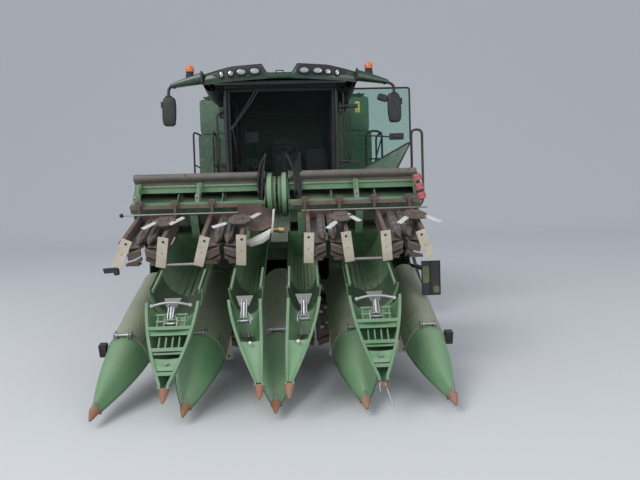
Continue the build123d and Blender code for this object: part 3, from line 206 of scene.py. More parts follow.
class Shape:
    """A mesh being built. Each method adds a form at the shape's place, with a material number."""

    def __init__(self, place=WORLD, bm=None):
        self.place = place
        self.bm = bmesh.new() if bm is None else bm

    def at(self, place):
        """The same mesh seen from a further place."""
        return Shape(self.place @ place, self.bm)

    def stamp(self, verts, place, mat):
        """Moves new geometry into place and gives its faces a material."""
        for vert in verts:
            vert.co = place @ vert.co
        for face in {face for vert in verts for face in vert.link_faces}:
            face.material_index = mat

    def block(self, corner, other, mat=0):
        """A box between two corners."""
        low = Vector([min(pair) for pair in zip(corner, other)])
        high = Vector([max(pair) for pair in zip(corner, other)])
        verts = bmesh.ops.create_cube(self.bm, size=1)["verts"]
        local = Matrix.Translation((low + high) / 2) @ Matrix.Diagonal((*(high - low), 1))
        self.stamp(verts, self.place @ local, mat)

    def slab(self, x, half, low, high, mat=0):
        """A box around x between two (y, z) corners."""
        self.block((x - half, *low), (x + half, *high), mat)

    def rod(self, start, end, radius, mat=0, segments=18):
        start, end = Vector(start), Vector(end)
        axis = end - start
        verts = bmesh.ops.create_cone(self.bm, cap_ends=True, cap_tris=False, segments=segments,
                                      radius1=radius, radius2=radius, depth=axis.length)["verts"]
        turn = axis.to_track_quat("Z", "Y").to_matrix().to_4x4()
        self.stamp(verts, self.place @ Matrix.Translation((start + end) / 2) @ turn, mat)

    def bar(self, x0, x1, spot, radius, mat=0, segments=18):
        """A rod along x at a (y, z) spot."""
        self.rod((x0, *spot), (x1, *spot), radius, mat, segments)

    def ball(self, centre, radius, mat=0, squash=(1, 1, 1)):
        verts = bmesh.ops.create_uvsphere(self.bm, u_segments=20, v_segments=12, radius=radius)["verts"]
        self.stamp(verts, self.place @ Matrix.Translation(centre) @ Matrix.Diagonal((*squash, 1)), mat)

    def prism(self, outline, axis, low, high, mat=0):
        """A flat outline in the plane across an axis, extruded from low to high along it."""
        first, second, along = {"X": (1, 2, 0), "Y": (0, 2, 1), "Z": (0, 1, 2)}[axis]
        verts = []
        for point in outline:
            co = Vector((0, 0, 0))
            co[first], co[second], co[along] = *point, low
            verts.append(self.bm.verts.new(co))
        out = bmesh.ops.extrude_face_region(self.bm, geom=[self.bm.faces.new(verts)])
        tops = [item for item in out["geom"] if isinstance(item, bmesh.types.BMVert)]
        for vert in tops:
            vert.co[along] = high
        self.stamp(verts + tops, self.place, mat)

    def patch(self, rows, columns, surface, mat=0, closed=False):
        """A grid whose points are put on surface(s, t), with s and t from 0 to 1."""
        verts = bmesh.ops.create_grid(self.bm, x_segments=rows, y_segments=columns, size=0.5)["verts"]
        for vert in verts:
            vert.co = surface(vert.co.x + 0.5, vert.co.y + 0.5)
        self.stamp(verts, self.place, mat)
        if closed:
            bmesh.ops.remove_doubles(self.bm, verts=verts, dist=WELD)

    def lathe(self, profile, start, axis, mat=0, steps=32):
        """Spins (distance along the axis, radius) points about an axis through start."""
        spin = Vector(axis).normalized().to_track_quat("Z", "Y")
        turn = Matrix.Translation(start) @ spin.to_matrix().to_4x4()
        verts = [self.bm.verts.new((radius, 0, along)) for along, radius in profile]
        edges = [self.bm.edges.new(pair) for pair in zip(verts, verts[1:])]
        spun = bmesh.ops.spin(self.bm, geom=verts + edges, cent=(0, 0, 0), axis=(0, 0, 1), angle=math.tau,
                              steps=steps, use_merge=True)
        seen = set(verts) | {item for item in spun["geom_last"] if isinstance(item, bmesh.types.BMVert)}
        reach = list(seen)
        while reach:
            for edge in reach.pop().link_edges:
                for vert in edge.verts:
                    if vert not in seen:
                        seen.add(vert)
                        reach.append(vert)
        alive = [vert for vert in seen if vert.is_valid]
        self.stamp(alive, self.place @ turn, mat)
        bmesh.ops.remove_doubles(self.bm, verts=alive, dist=WELD)

    def tube(self, points, radius, mat=0, bend=0.08, smooth=False):
        """A round tube along points, with its corners rounded over a bend length."""
        route = [Vector(point) for point in points]
        if not smooth:
            rounded_route = [route[0]]
            for before, corner, after in zip(route, route[1:], route[2:]):
                reaches = [other - corner for other in (before, after)]
                first, last = (
                    corner + reach.normalized() * min(bend, reach.length * 0.45) for reach in reaches)
                for t in (0.0, 0.25, 0.5, 0.75, 1.0):
                    rounded_route.append(first * (1 - t) ** 2 + corner * 2 * t * (1 - t) + last * t * t)
            route = rounded_route + [route[-1]]
        curve = bpy.data.curves.new("tube", "CURVE")
        curve.dimensions = "3D"
        curve.bevel_depth = radius
        curve.bevel_resolution = 3
        curve.resolution_u = 4 if smooth else 3
        curve.use_fill_caps = True
        spline = curve.splines.new("NURBS" if smooth else "POLY")
        spline.points.add(len(route) - 1)
        for point, co in zip(spline.points, route):
            point.co = (*co, 1)
        if smooth:
            spline.order_u = 3
            spline.use_endpoint_u = True
        holder = bpy.data.objects.new("tube", curve)
        mesh = bpy.data.meshes.new_from_object(holder)
        known = set(self.bm.verts)
        self.bm.from_mesh(mesh)
        self.stamp([vert for vert in self.bm.verts if vert not in known], self.place, mat)
        bpy.data.objects.remove(holder)
        bpy.data.curves.remove(curve)
        bpy.data.meshes.remove(mesh)

    def bolts(self, centres, axis, radius=0.012, mat=0, height=0.009):
        """Hexagon heads standing on a surface."""
        axis = Vector(axis).normalized()
        for centre in centres:
            foot = Vector(centre)
            self.rod(foot - axis * 0.004, foot + axis * height, radius, mat, segments=6)


def rounded(x0, x1, z0, z1, radius):
    """An (x, z) rectangle with rounded corners."""
    points = []
    for cx, cz, start in ((x1 - radius, z1 - radius, 0), (x0 + radius, z1 - radius, 90),
                          (x0 + radius, z0 + radius, 180), (x1 - radius, z0 + radius, 270)):
        for step in range(6):
            angle = math.radians(start + 18 * step)
            points.append((cx + radius * math.cos(angle), cz + radius * math.sin(angle)))
    return points


def add_piece(name, shape, finishes, body, stands_for=(), bevel=0, sharp=38):
    """Turns a shape into a finished piece that rides on a body."""
    bm = shape.bm
    bmesh.ops.recalc_face_normals(bm, faces=bm.faces)
    bmesh.ops.translate(bm, verts=bm.verts, vec=SHIFT)
    for face in bm.faces:
        face.smooth = True
    for edge in bm.edges:
        edge.smooth = len(edge.link_faces) == 2 and edge.calc_face_angle(0) < math.radians(sharp)
    mesh = bpy.data.meshes.new(name)
    bm.to_mesh(mesh)
    bm.free()
    piece = bpy.data.objects.new(name, mesh)
    bpy.context.scene.collection.objects.link(piece)
    for finish in finishes.split():
        mesh.materials.append(material(finish))
    if bevel:
        rounding = piece.modifiers.new("Bevel", "BEVEL")
        rounding.width = bevel
        rounding.segments = 2
        rounding.limit_method = "ANGLE"
        rounding.angle_limit = math.radians(40)
        rounding.use_clamp_overlap = True
    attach(piece, body)
    if stands_for:
        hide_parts(*stands_for)
    return piece


# Materials

def wire(tree, kind, links=None, **settings):
    """A new node with its settings, its input values and its links."""
    node = tree.nodes.new(kind)
    for key, value in settings.items():
        setattr(node, key, value)
    for key, source in (links or {}).items():
        if isinstance(source, bpy.types.NodeSocket):
            tree.links.new(source, node.inputs[key])
        else:
            node.inputs[key].default_value = source
    return node


def ramp(tree, value, low, high):
    """Stretches a value so that low gives 0 and high gives 1."""
    return wire(tree, "ShaderNodeMapRange", {"Value": value, "From Min": low, "From Max": high},
                clamp=True).outputs[0]


def maths(tree, operation, first, second):
    return wire(tree, "ShaderNodeMath", {0: first, 1: second}, operation=operation, use_clamp=True).outputs[0]


def blend_colour(tree, share, first, second):
    return wire(tree, "ShaderNodeMix", {0: share, 6: first, 7: second}, data_type="RGBA").outputs[2]


def weathering_group():
    """Fading, dust on upper faces, mud splashes, rust spots and worn edges over a base colour."""
    known = bpy.data.node_groups.get("Weathering")
    if known:
        return known
    group = bpy.data.node_groups.new("Weathering", "ShaderNodeTree")
    grey, tan, brown = (0.5, 0.5, 0.5, 1), (0.3, 0.27, 0.2, 1), (0.13, 0.05, 0.03, 1)
    for label, value in (("Base", grey), ("Dust Colour", tan), ("Rust Colour", brown), ("Dust", 0.3),
                         ("Rust", 0.1), ("Edge Wear", 0.3), ("Scale", 1), ("Roughness", 0.4)):
        kind = "NodeSocketColor" if isinstance(value, tuple) else "NodeSocketFloat"
        group.interface.new_socket(name=label, in_out="INPUT", socket_type=kind).default_value = value
    for label, kind in (("Colour", "NodeSocketColor"), ("Roughness", "NodeSocketFloat"),
                        ("Height", "NodeSocketFloat")):
        group.interface.new_socket(name=label, in_out="OUTPUT", socket_type=kind)
    given = group.nodes.new("NodeGroupInput").outputs
    result = group.nodes.new("NodeGroupOutput").inputs

    def add(first, second):
        return maths(group, "ADD", first, second)

    def times(first, second):
        return maths(group, "MULTIPLY", first, second)

    where = wire(group, "ShaderNodeTexCoord").outputs["Object"]
    scaled = wire(group, "ShaderNodeVectorMath", {0: where, "Scale": given["Scale"]},
                  operation="SCALE").outputs[0]

    def noise(scale, detail, rough):
        values = {"Vector": scaled, "Scale": scale, "Detail": detail, "Roughness": rough}
        return wire(group, "ShaderNodeTexNoise", values).outputs["Fac"]

    broad, blotches = noise(1.7, 5, 0.55), noise(11, 6, 0.65)
    fine, speckle = noise(70, 4, 0.7), noise(240, 2, 0.5)
    # Fading
    pale = wire(group, "ShaderNodeHueSaturation", {"Saturation": 0.82, "Value": 1.25, "Color": given["Base"]})
    colour = blend_colour(group, ramp(group, broad, 0.35, 0.7), given["Base"], pale.outputs[0])
    # Dust on upper faces and mud splashes
    normal = wire(group, "ShaderNodeSeparateXYZ", {0: wire(group, "ShaderNodeNewGeometry").outputs["Normal"]})
    upward = ramp(group, normal.outputs["Z"], -0.35, 1.0)
    film = times(upward, ramp(group, add(broad, times(blotches, 0.5)), 0.45, 0.95))
    splash = ramp(group, add(blotches, times(fine, 0.35)), 0.66, 0.82)
    dusty = times(maths(group, "MAXIMUM", film, times(splash, 0.8)), given["Dust"])
    colour = blend_colour(group, dusty, colour, given["Dust Colour"])
    # Rust spots
    cut = maths(group, "SUBTRACT", 0.98, times(given["Rust"], 0.62))
    rusty = ramp(group, add(blotches, times(speckle, 0.3)), cut, add(cut, 0.09))
    tone = blend_colour(group, ramp(group, fine, 0.3, 0.7), given["Rust Colour"], (0.24, 0.12, 0.07, 1))
    colour = blend_colour(group, rusty, colour, tone)
    # Worn edges
    flat = wire(group, "ShaderNodeNewGeometry").outputs["Normal"]
    soft = wire(group, "ShaderNodeBevel", {"Radius": 0.012}, samples=3).outputs[0]
    likeness = wire(group, "ShaderNodeVectorMath", {0: soft, 1: flat},
                    operation="DOT_PRODUCT").outputs["Value"]
    edge = times(ramp(group, likeness, 0.985, 0.86), ramp(group, add(blotches, times(fine, 0.5)), 0.6, 0.85))
    colour = blend_colour(group, times(edge, given["Edge Wear"]), colour, (0.3, 0.27, 0.23, 1))
    group.links.new(colour, result["Colour"])
    rough = add(given["Roughness"], times(add(dusty, rusty), 0.4))
    group.links.new(add(rough, times(fine, 0.08)), result["Roughness"])
    relief = add(times(splash, times(given["Dust"], 0.6)), times(rusty, 0.5))
    group.links.new(add(relief, times(fine, 0.12)), result["Height"])
    return group


def shade(colour, gain, lift=0.0):
    return tuple(gain * c + lift for c in colour)


def finishes():
    """Base colour, then dust, rust, edge wear, pattern scale, roughness, metal and coat of each finish."""
    p = bpy.context.scene.combine_paints
    green, divider = p.machine_green, p.divider_green
    dry = tuple(0.55 * c + 0.45 * d for c, d in zip(divider, p.dust))
    return {
        "machine_paint": (green, 0.28, 0.02, 0.35, 1.0, 0.32, 0, 0.25),
        "roof_paint": (shade(green, 0.42), 0.1, 0.0, 0.15, 1.0, 0.25, 0, 0.3),
        "frame_paint": (shade(green, 0.8), 0.55, 0.25, 0.6, 1.4, 0.5, 0, 0),
        "divider_paint": (divider, 0.42, 0.03, 0.35, 1.1, 0.4, 0, 0.1),
        "dusty_divider": (dry, 0.85, 0.05, 0.35, 1.3, 0.55, 0, 0),
        "flange_paint": (shade(divider, 0.86), 0.2, 0.1, 0.6, 1.6, 0.45, 0, 0),
        "pale_inner": (shade(divider, 1.05, 0.02), 0.3, 0.08, 0.4, 1.6, 0.5, 0, 0),
        "inner_paint": (shade(divider, 0.75), 0.5, 0.12, 0.3, 1.2, 0.55, 0, 0),
        # The divider green at a fifth of its brightness: painted shade for shell insides, hood linings and
        # the cab's rear wall
        "dark_inner": (shade(divider, 0.22), 0.25, 0.2, 0.3, 1.2, 0.6, 0, 0),
        "wing_paint": (shade(divider, 0.36, 0.01), 0.3, 0.3, 0.6, 1.5, 0.5, 0, 0),
        "rusty_steel": ((0.085, 0.058, 0.047), 0.45, 0.42, 0.35, 1.6, 0.62, 0.3, 0),
        "brown_sheet": ((0.105, 0.07, 0.062), 0.35, 0.5, 0.2, 1.2, 0.5, 0, 0),
        "worn_steel": ((0.30, 0.285, 0.27), 0.4, 0.35, 0.3, 1.8, 0.42, 0.75, 0),
        "muddy_steel": ((0.13, 0.115, 0.105), 0.5, 0.4, 0.2, 2.2, 0.55, 0.4, 0),
        "wear_paint": (p.wear_plate, 0.3, 0.22, 0.5, 2.0, 0.5, 0, 0),
        "tip_rust": ((0.30, 0.125, 0.06), 0.3, 0.35, 0.3, 2.5, 0.6, 0.2, 0),
        "galvanised": ((0.42, 0.43, 0.44), 0.3, 0.12, 0.2, 2.0, 0.35, 0.85, 0),
        "white_paddle": ((0.62, 0.61, 0.57), 0.3, 0.12, 0.4, 2.5, 0.5, 0, 0),
        "black_paint": ((0.014, 0.014, 0.015), 0.12, 0.03, 0.2, 1.2, 0.42, 0, 0),
        "black_plastic": ((0.012, 0.012, 0.013), 0.08, 0.0, 0.0, 1.5, 0.5, 0, 0),
        "rubber": ((0.016, 0.016, 0.016), 0.15, 0.0, 0.0, 1.5, 0.75, 0, 0),
        "tyre_rubber": ((0.022, 0.021, 0.02), 0.5, 0.0, 0.0, 1.1, 0.82, 0, 0),
        "rim_yellow": ((0.66, 0.42, 0.035), 0.3, 0.05, 0.4, 1.2, 0.38, 0, 0.15),
        "grey_metal": ((0.19, 0.19, 0.185), 0.3, 0.15, 0.3, 1.4, 0.45, 0.4, 0),
        "chrome_rod": ((0.62, 0.62, 0.62), 0.05, 0.0, 0.0, 1.0, 0.12, 1, 0),
        "lamp_glass": ((0.42, 0.44, 0.45), 0.05, 0.0, 0.0, 1.0, 0.12, 0.6, 0.8),
        "amber_lens": ((0.75, 0.16, 0.015), 0.08, 0.0, 0.0, 1.0, 0.2, 0, 0.6),
        "red_lens": ((0.42, 0.02, 0.025), 0.12, 0.0, 0.0, 1.0, 0.28, 0, 0.4),
        "olive_patch": ((0.10, 0.11, 0.025), 0.4, 0.0, 0.0, 1.5, 0.6, 0, 0),
        "olive_rail": ((0.035, 0.04, 0.012), 0.3, 0.05, 0.2, 1.5, 0.5, 0, 0),
        "label_yellow": ((0.75, 0.55, 0.05), 0.15, 0.0, 0.0, 1.0, 0.5, 0, 0),
        "brass_fitting": ((0.52, 0.34, 0.10), 0.2, 0.1, 0.0, 1.0, 0.35, 0.9, 0),
        "seat_cloth": ((0.05, 0.052, 0.055), 0.1, 0.0, 0.0, 1.0, 0.9, 0, 0),
        "mirror_glass": ((0.75, 0.77, 0.78), 0.0, 0.0, 0.0, 1.0, 0.04, 1, 0),
    }


GLASSES = {"cab_window": (0.86, 0.90, 0.89), "door_window": (0.80, 0.95, 0.88)}


def dress_glass(tree, shader, tint):
    """Thin tinted glass: clear, with a weak sharp reflection."""
    shader.inputs["Base Color"].default_value = (*shade(tint, 0.03), 1)
    shader.inputs["Roughness"].default_value = 0.03
    clear = wire(tree, "ShaderNodeBsdfTransparent", {"Color": (*tint, 1)}).outputs[0]
    share = maths(tree, "ADD", wire(tree, "ShaderNodeFresnel", {"IOR": 1.35}).outputs[0], 0.04)
    mix = wire(tree, "ShaderNodeMixShader", {0: share, 1: clear, 2: shader.outputs[0]})
    tree.links.new(mix.outputs[0], tree.nodes["Material Output"].inputs["Surface"])


def material(name):
    """The finish of that name, made once."""
    known = bpy.data.materials.get(f"finish_{name}")
    if known:
        return known
    made = bpy.data.materials.new(f"finish_{name}")
    made.use_nodes = True
    tree = made.node_tree
    shader = tree.nodes["Principled BSDF"]
    if name in GLASSES:
        dress_glass(tree, shader, GLASSES[name])
        return made
    base, dust, rust, wear, scale, rough, metal, coat = finishes()[name]
    paints = bpy.context.scene.combine_paints
    weather = wire(tree, "ShaderNodeGroup", node_tree=weathering_group())
    values = {
        "Base": (*base, 1), "Dust Colour": (*paints.dust, 1), "Rust Colour": (*paints.rust, 1),
        "Dust": dust, "Rust": rust, "Edge Wear": wear, "Scale": scale, "Roughness": rough,
    }
    for label, value in values.items():
        weather.inputs[label].default_value = value
    bump = wire(tree, "ShaderNodeBump",
                {"Height": weather.outputs["Height"], "Distance": 0.004, "Strength": 0.5})
    for source, label in ((weather.outputs["Colour"], "Base Color"),
                          (weather.outputs["Roughness"], "Roughness"), (bump.outputs["Normal"], "Normal")):
        tree.links.new(source, shader.inputs[label])
    shader.inputs["Metallic"].default_value = metal
    shader.inputs["Coat Weight"].default_value = coat
    return made


# The carried-over solids of each finish; a star stands for left and for right
CAD_FINISHES = {
    "frame_paint": "chassis_frame front_axle rear_axle straw_chopper feeder_house header_frame knuckle_*",
    "machine_paint": "separator_body grain_tank rear_hood side_shield_* auger_turret unloading_auger "
                     "cab_door",
    "black_plastic": "tank_cover_* mirrors end_board",
    "black_paint": "exhaust cab_shell platform ladder lift_cylinder_barrels",
    "rusty_steel": "row_units stalk_rolls wing_row_units_* wing_stalk_rolls_*",
    "worn_steel": "header_auger wing_auger_*",
    "tyre_rubber": "front_tyre_* rear_tyre_*",
    "rim_yellow": "front_rim_* rear_rim_*",
    "wing_paint": "wing_frame_*",
    "inner_paint": "wing_hoods_*",
    "flange_paint": "wing_snouts_*",
    "dusty_divider": "hoods",
    "divider_paint": "snouts",
    "grey_metal": "engine_block",
    "cab_window": "cab_glass",
    "door_window": "cab_door_glass",
    "roof_paint": "cab_roof",
    "lamp_glass": "roof_lights",
    "seat_cloth": "cab_interior",
    "chrome_rod": "lift_cylinder_rods",
    "red_lens": "wing_panel",
}


class COMBINE_OT_finish_solids(bpy.types.Operator):
    """Gives every carried-over solid its weathered finish."""

    bl_idname = "combine.finish_solids"
    bl_label = "Finish the solids"

    def execute(self, context):
        for finish, nodes in CAD_FINISHES.items():
            for node in {name.replace("*", side) for name in nodes.split() for side, _ in SIDES}:
                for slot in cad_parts[node].material_slots:
                    slot.material = material(finish)
        return {"FINISHED"}


class COMBINE_OT_stage(bpy.types.Operator):
    """A pale floor, soft daylight and the camera."""

    bl_idname = "combine.stage"
    bl_label = "Stage"

    def execute(self, context):
        self.floor(context)
        world = bpy.data.worlds.new("sky")
        context.scene.world = world
        world.use_nodes = True
        sky = world.node_tree.nodes["Background"].inputs
        sky["Color"].default_value = (0.86, 0.91, 1.0, 1)
        sky["Strength"].default_value = 0.62
        for name, spot, energy, size in LAMPS:
            lamp = bpy.data.lights.new(name, "AREA")
            lamp.energy = energy
            lamp.size = size
            holder = bpy.data.objects.new(name, lamp)
            holder.location = Vector(spot) + SHIFT
            holder.rotation_mode = "QUATERNION"
            holder.rotation_quaternion = (LAMP_TARGET - Vector(spot)).to_track_quat("-Z", "Y")
            context.scene.collection.objects.link(holder)
        self.camera(context)
        context.scene.view_settings.view_transform = "Standard"
        return {"FINISHED"}

    def floor(self, context):
        """A sheet that rises far behind the machine."""

        def sweep(s, t):
            along = t * 2 - 1
            rise = max(0.0, along - 0.35)
            return Vector(((s - 0.5) * 300, along * 70 + 10, rise * rise * 260))

        sheet = Shape()
        sheet.patch(8, 60, sweep)
        for face in sheet.bm.faces:
            face.smooth = True
        mesh = bpy.data.meshes.new("floor")
        sheet.bm.to_mesh(mesh)
        sheet.bm.free()
        floor = bpy.data.objects.new("floor", mesh)
        context.scene.collection.objects.link(floor)
        finish = bpy.data.materials.new("pale_floor")
        finish.use_nodes = True
        shader = finish.node_tree.nodes["Principled BSDF"]
        shader.inputs["Base Color"].default_value = (0.72, 0.73, 0.74, 1)
        shader.inputs["Roughness"].default_value = 0.9
        mesh.materials.append(finish)

    def camera(self, context):
        """The camera that took the photo."""
        yaw, pitch, roll = (math.radians(a) for a in CAMERA_TURN)
        forward = Vector((math.sin(yaw) * math.cos(pitch), math.cos(yaw) * math.cos(pitch), math.sin(pitch)))
        level = Vector((math.cos(yaw), -math.sin(yaw), 0))
        above = level.cross(forward)
        right = math.cos(roll) * level - math.sin(roll) * above
        up = math.sin(roll) * level + math.cos(roll) * above
        data = bpy.data.cameras.new("camera")
        data.sensor_width = 36
        data.lens = CAMERA_LENS
        data.clip_end = 400
        camera = bpy.data.objects.new("camera", data)
        turn = Matrix((right, up, -forward)).transposed().to_4x4()
        camera.matrix_world = Matrix.Translation(Vector(CAMERA_SPOT) + SHIFT) @ turn
        context.scene.collection.objects.link(camera)
        context.scene.camera = camera


# Dividers

def length_at(t):
    """Distance u along a divider point, from its rear (0) to its tip (1)."""
    return -0.44 - 0.745 * t


class Divider:
    """A divider's point and barrel hood around x."""

    def __init__(self, x, half, offset):
        self.x, self.half, self.offset = x, half, offset

    def section(self, t):
        """Middle, half width, base height and top height at t along the point."""
        width = (self.half - 0.014) * (1 - 0.2 * t - 0.62 * t ** 2.2) + 0.004
        width = width * (1 - t) ** 0.12 if t < 0.999 else 0.04
        return self.x + self.offset * t ** 1.3, width, 0.240 + 0.06 * t, 0.556 - 0.04 * t - 0.134 * t ** 1.7

    def skin(self, s, t, shrink=0.0):
        """A spot on the point's shell: s runs from one base edge over the top to the other."""
        cx, width, base, top = self.section(t)
        angle = math.pi * s
        width = max(0.01, width - shrink)
        return Vector((cx - width * math.cos(angle), length_at(t),
                       base + (top - shrink - base) * math.sin(angle) ** 0.9))

    def shell(self, shape, wall):
        """The point's two skins with turned lips along both lower edges."""
        shape.patch(28, 26, self.skin)
        shape.patch(20, 20, lambda s, t: self.skin(s, t, wall), 1)
        for side, sign in ((0, -1), (1, 1)):
            def lip(s, t):
                edge = self.skin(side, t)
                reach = min(0.02, self.section(t)[1] * 0.4)
                edge.x += -sign * reach * s + sign * 0.006 * (1 - s)
                return edge

            def turned_edge(s, t):
                edge = self.skin(side, t)
                edge.x += sign * 0.006
                edge.z += 0.014 * (s - 0.2)
                return edge

            shape.patch(1, 26, lip, 2)
            shape.patch(1, 26, turned_edge, 2)

    def tip(self, shape, mat, steel):
        """The worn steel tip and the fastener behind it."""
        x = self.x + self.offset
        cone = ((0.0, 0.0), (0.006, 0.012), (0.05, 0.026), (0.105, 0.042), (0.116, 0.044), (0.122, 0.036))
        shape.lathe(cone, (x, -1.294, 0.338), (0, 1, 0), mat, 20)
        shape.rod((x, -1.155, 0.388), (x, -1.155, 0.402), 0.013, steel)
        shape.rod((x, -1.155, 0.402), (x, -1.155, 0.410), 0.007, steel, segments=6)
        shape.slab(x, 0.014, (-1.18, 0.385), (-1.13, 0.394), steel)

    def lugs(self, shape, mat):
        """The point's two hinge lugs."""
        for sign in (1, -1):
            x = self.x + sign * 0.26 * self.half
            shape.slab(x, 0.006, (HINGE_U - 0.02, 0.53), (HINGE_U + 0.01, HINGE_V), mat)
            shape.bar(x - 0.006, x + 0.006, (HINGE_U, HINGE_V), 0.02, mat)

    def hood_skin(self, s, t, shrink=0.0):
        """A spot on the hood: s over its arch, t from its front to its rear."""
        angle = math.pi * s
        swell = 1 - 0.03 * (2 * t - 1) ** 2
        return Vector((self.x - (self.half - shrink) * swell * math.cos(angle), -0.47 + 1.17 * t,
                       HOOD_BASE + (0.335 - shrink) * swell * math.sin(angle) ** 0.92))

    def hood(self, shape, wall, first_rib=-0.44):
        """A rolled barrel hood with its front bead, ribs inside, hinge ears on top and its bracket."""
        x = self.x
        shape.patch(28, 14, self.hood_skin)
        shape.patch(20, 10, lambda s, t: self.hood_skin(s, t, wall), 1)
        for t, radius in ((0.0, 0.007), (0.16, 0.004), (1.0, 0.006)):
            shape.tube([self.hood_skin(s / 24, t) for s in range(25)], radius, smooth=True)

        def rear(s, t):
            edge = self.hood_skin(s, 1.0)
            return Vector((x + (edge.x - x) * t, 0.7, HOOD_BASE + (edge.z - HOOD_BASE) * t))

        shape.patch(20, 3, rear)
        for share in (index / 4 for index in range(-3, 4)):
            rib = (x + share * self.half, HOOD_BASE + 0.325 * math.sqrt(1 - share ** 2) - 0.012)
            shape.rod((rib[0], first_rib, rib[1]), (rib[0], 0.66, rib[1]), 0.009, 1, segments=8)
        reach = 0.36 * self.half
        for sign in (1, -1):
            shape.slab(x + sign * reach, 0.006, (HINGE_U - 0.02, 0.544), (-0.43, HINGE_V + 0.012), 2)
        shape.bar(x - reach - 0.012, x + reach + 0.012, (HINGE_U, HINGE_V), 0.012, 2)
        shape.slab(x, 0.04, (0.60, -0.02), (0.66, 0.236), 1)


class COMBINE_OT_center_dividers(bpy.types.Operator):
    """The five long cones and barrel hoods of the centre section."""

    bl_idname = "combine.center_dividers"
    bl_label = "Centre dividers"

    def execute(self, context):
        wall = context.scene.combine_header.shell_wall
        points, hoods = Shape(header_place()), Shape(header_place())
        for row in CENTER_DIVIDERS:
            divider = Divider(*row)
            divider.shell(points, wall)
            divider.tip(points, 3, 4)
            divider.lugs(points, 4)
            divider.hood(hoods, wall)
        flap = ((-0.405, 0.33), (-0.405, 0.44), (-0.47, 0.45), (-0.49, 0.33))
        for sign in (1, -1):
            points.prism(flap, "X", sign * 1.62 - 0.004, sign * 1.69, 5)
        # The points' inner skins and the hoods' inner skins, ribs and brackets take the near-black green:
        # painted shade
        add_piece("center_points", points, "divider_paint dark_inner flange_paint tip_rust galvanised rubber",
                  "header", ("snouts",))
        add_piece("center_hoods", hoods, "dusty_divider dark_inner galvanised", "header",
                  ("hoods",))
        return {"FINISHED"}


def cross_wall(shape, divider, t, mat, holes=0):
    """A plate across a divider point's open side, with a turned lip."""
    cx, width, base, top = divider.section(t)
    u = length_at(t)
    width -= 0.008
    outline = [(cx - width * math.cos(a), base + 0.004 + (top - base - 0.012) * math.sin(a) ** 0.9)
               for a in [math.pi * k / 12 for k in range(13)]]
    shape.prism(outline, "Y", u - 0.003, u + 0.003, mat)
    shape.slab(cx, width, (u - 0.028, base), (u + 0.002, base + 0.006), mat)
    for index in range(holes):
        hole = (cx + (index - (holes - 1) / 2) * width * 0.9, u - 0.014)
        shape.rod((*hole, base - 0.002), (*hole, base + 0.001), 0.008, 4)


def cover(shape, divider, t0, t1, mat):
    """A dished sheet across a point's open side."""

    def sheet(s, t):
        along = t0 + (t1 - t0) * t
        cx, width, base, _ = divider.section(along)
        dish = math.sin(math.pi * s) * math.sin(math.pi * min(1, 0.3 + t))
        return Vector((cx + (2 * s - 1) * (width - 0.01), length_at(along), base + 0.012 + 0.03 * dish))

    shape.patch(10, 12, sheet, mat)


def latch(shape, steel, dark):
    """The spring latch that holds a hanging point, with its bracket and rollers."""
    shape.prism(((-0.075, -0.40), (0.075, -0.40), (0.04, -0.50), (-0.04, -0.50)), "Z", 0.25, 0.262, dark)
    for x in (0.022, -0.022):
        shape.slab(x, 0.004, (-0.60, 0.235), (-0.44, 0.285), steel)
    shape.rod((0, -0.47, 0.245), (0, -0.60, 0.262), 0.016, steel)
    shape.bar(-0.04, 0.04, (-0.475, 0.255), 0.010, steel)
    shape.bar(-0.034, 0.034, (-0.60, 0.262), 0.009, steel)
    shape.tube(((0.03, -0.56, 0.262), (0.075, -0.60, 0.25), (0.055, -0.66, 0.26)), 0.005, steel, smooth=True)
    shape.slab(0, 0.052, (-0.640, 0.262), (-0.628, 0.30), steel)
    shape.bolts(((-0.04, -0.634, 0.30), (0.04, -0.634, 0.30)), (0, 0, -1), 0.009, dark, 0.045)


def leaf_bar(shape, mat):
    """A curved cross bar with knobs at its ends."""
    half = ((0.165, -0.485, 0.225), (0.09, -0.472, 0.205))
    shape.tube([*mirror(half, -1), (0, -0.468, 0.198), *reversed(half)], 0.012, mat, smooth=True)
    for sign in (1, -1):
        shape.ball((sign * 0.165, -0.485, 0.225), 0.02, mat)


def ribbed_inside(shape, divider):
    """The leaf bar, cross walls, ribs and covers inside a wide point."""
    leaf_bar(shape.at(shift(divider.x)), 5)
    for t, holes in ((0.30, 0), (0.55, 2), (0.82, 2)):
        cross_wall(shape, divider, t, 2, holes)
    for low, high, count in ((0.12, 0.32, 5), (0.40, 0.56, 4)):
        cx, width, base, _ = divider.section(high)
        for index in range(count):
            x = cx + ((index + 0.5) / count * 1.5 - 0.75) * width
            shape.slab(x, 0.006, (length_at(high), base + 0.03), (length_at(low), base + 0.06), 2)
    for t in (0.14, 0.22):
        cx, width, base, _ = divider.section(t)
        shape.slab(cx, width * 0.62, (length_at(t) - 0.008, base + 0.03),
                   (length_at(t) + 0.008, base + 0.045), 2)
    for t0, t1, mat in ((0.30, 0.40, 2), (0.55, 0.62, 2), (0.66, 0.80, 7)):
        cover(shape, divider, t0, t1, mat)
    spot = (divider.x, length_at(0.72))
    shape.rod((*spot, 0.36), (*spot, 0.29), 0.016, 4)


def plain_inside(shape, divider):
    """The stop, bracket and cover inside a slim point."""
    spot = (divider.x + divider.offset * 0.42, length_at(0.53))
    shape.rod((*spot, 0.30), (*spot, 0.262), 0.013, 6)
    for x in (0.03, -0.03):
        shape.slab(divider.x + x, 0.005, (-0.72, 0.42), (-0.66, 0.52), 4)
    shape.slab(divider.x, 0.06, (-0.70, 0.455), (-0.69, 0.475), 4)
    cover(shape, divider, 0.5, 0.97, 7)


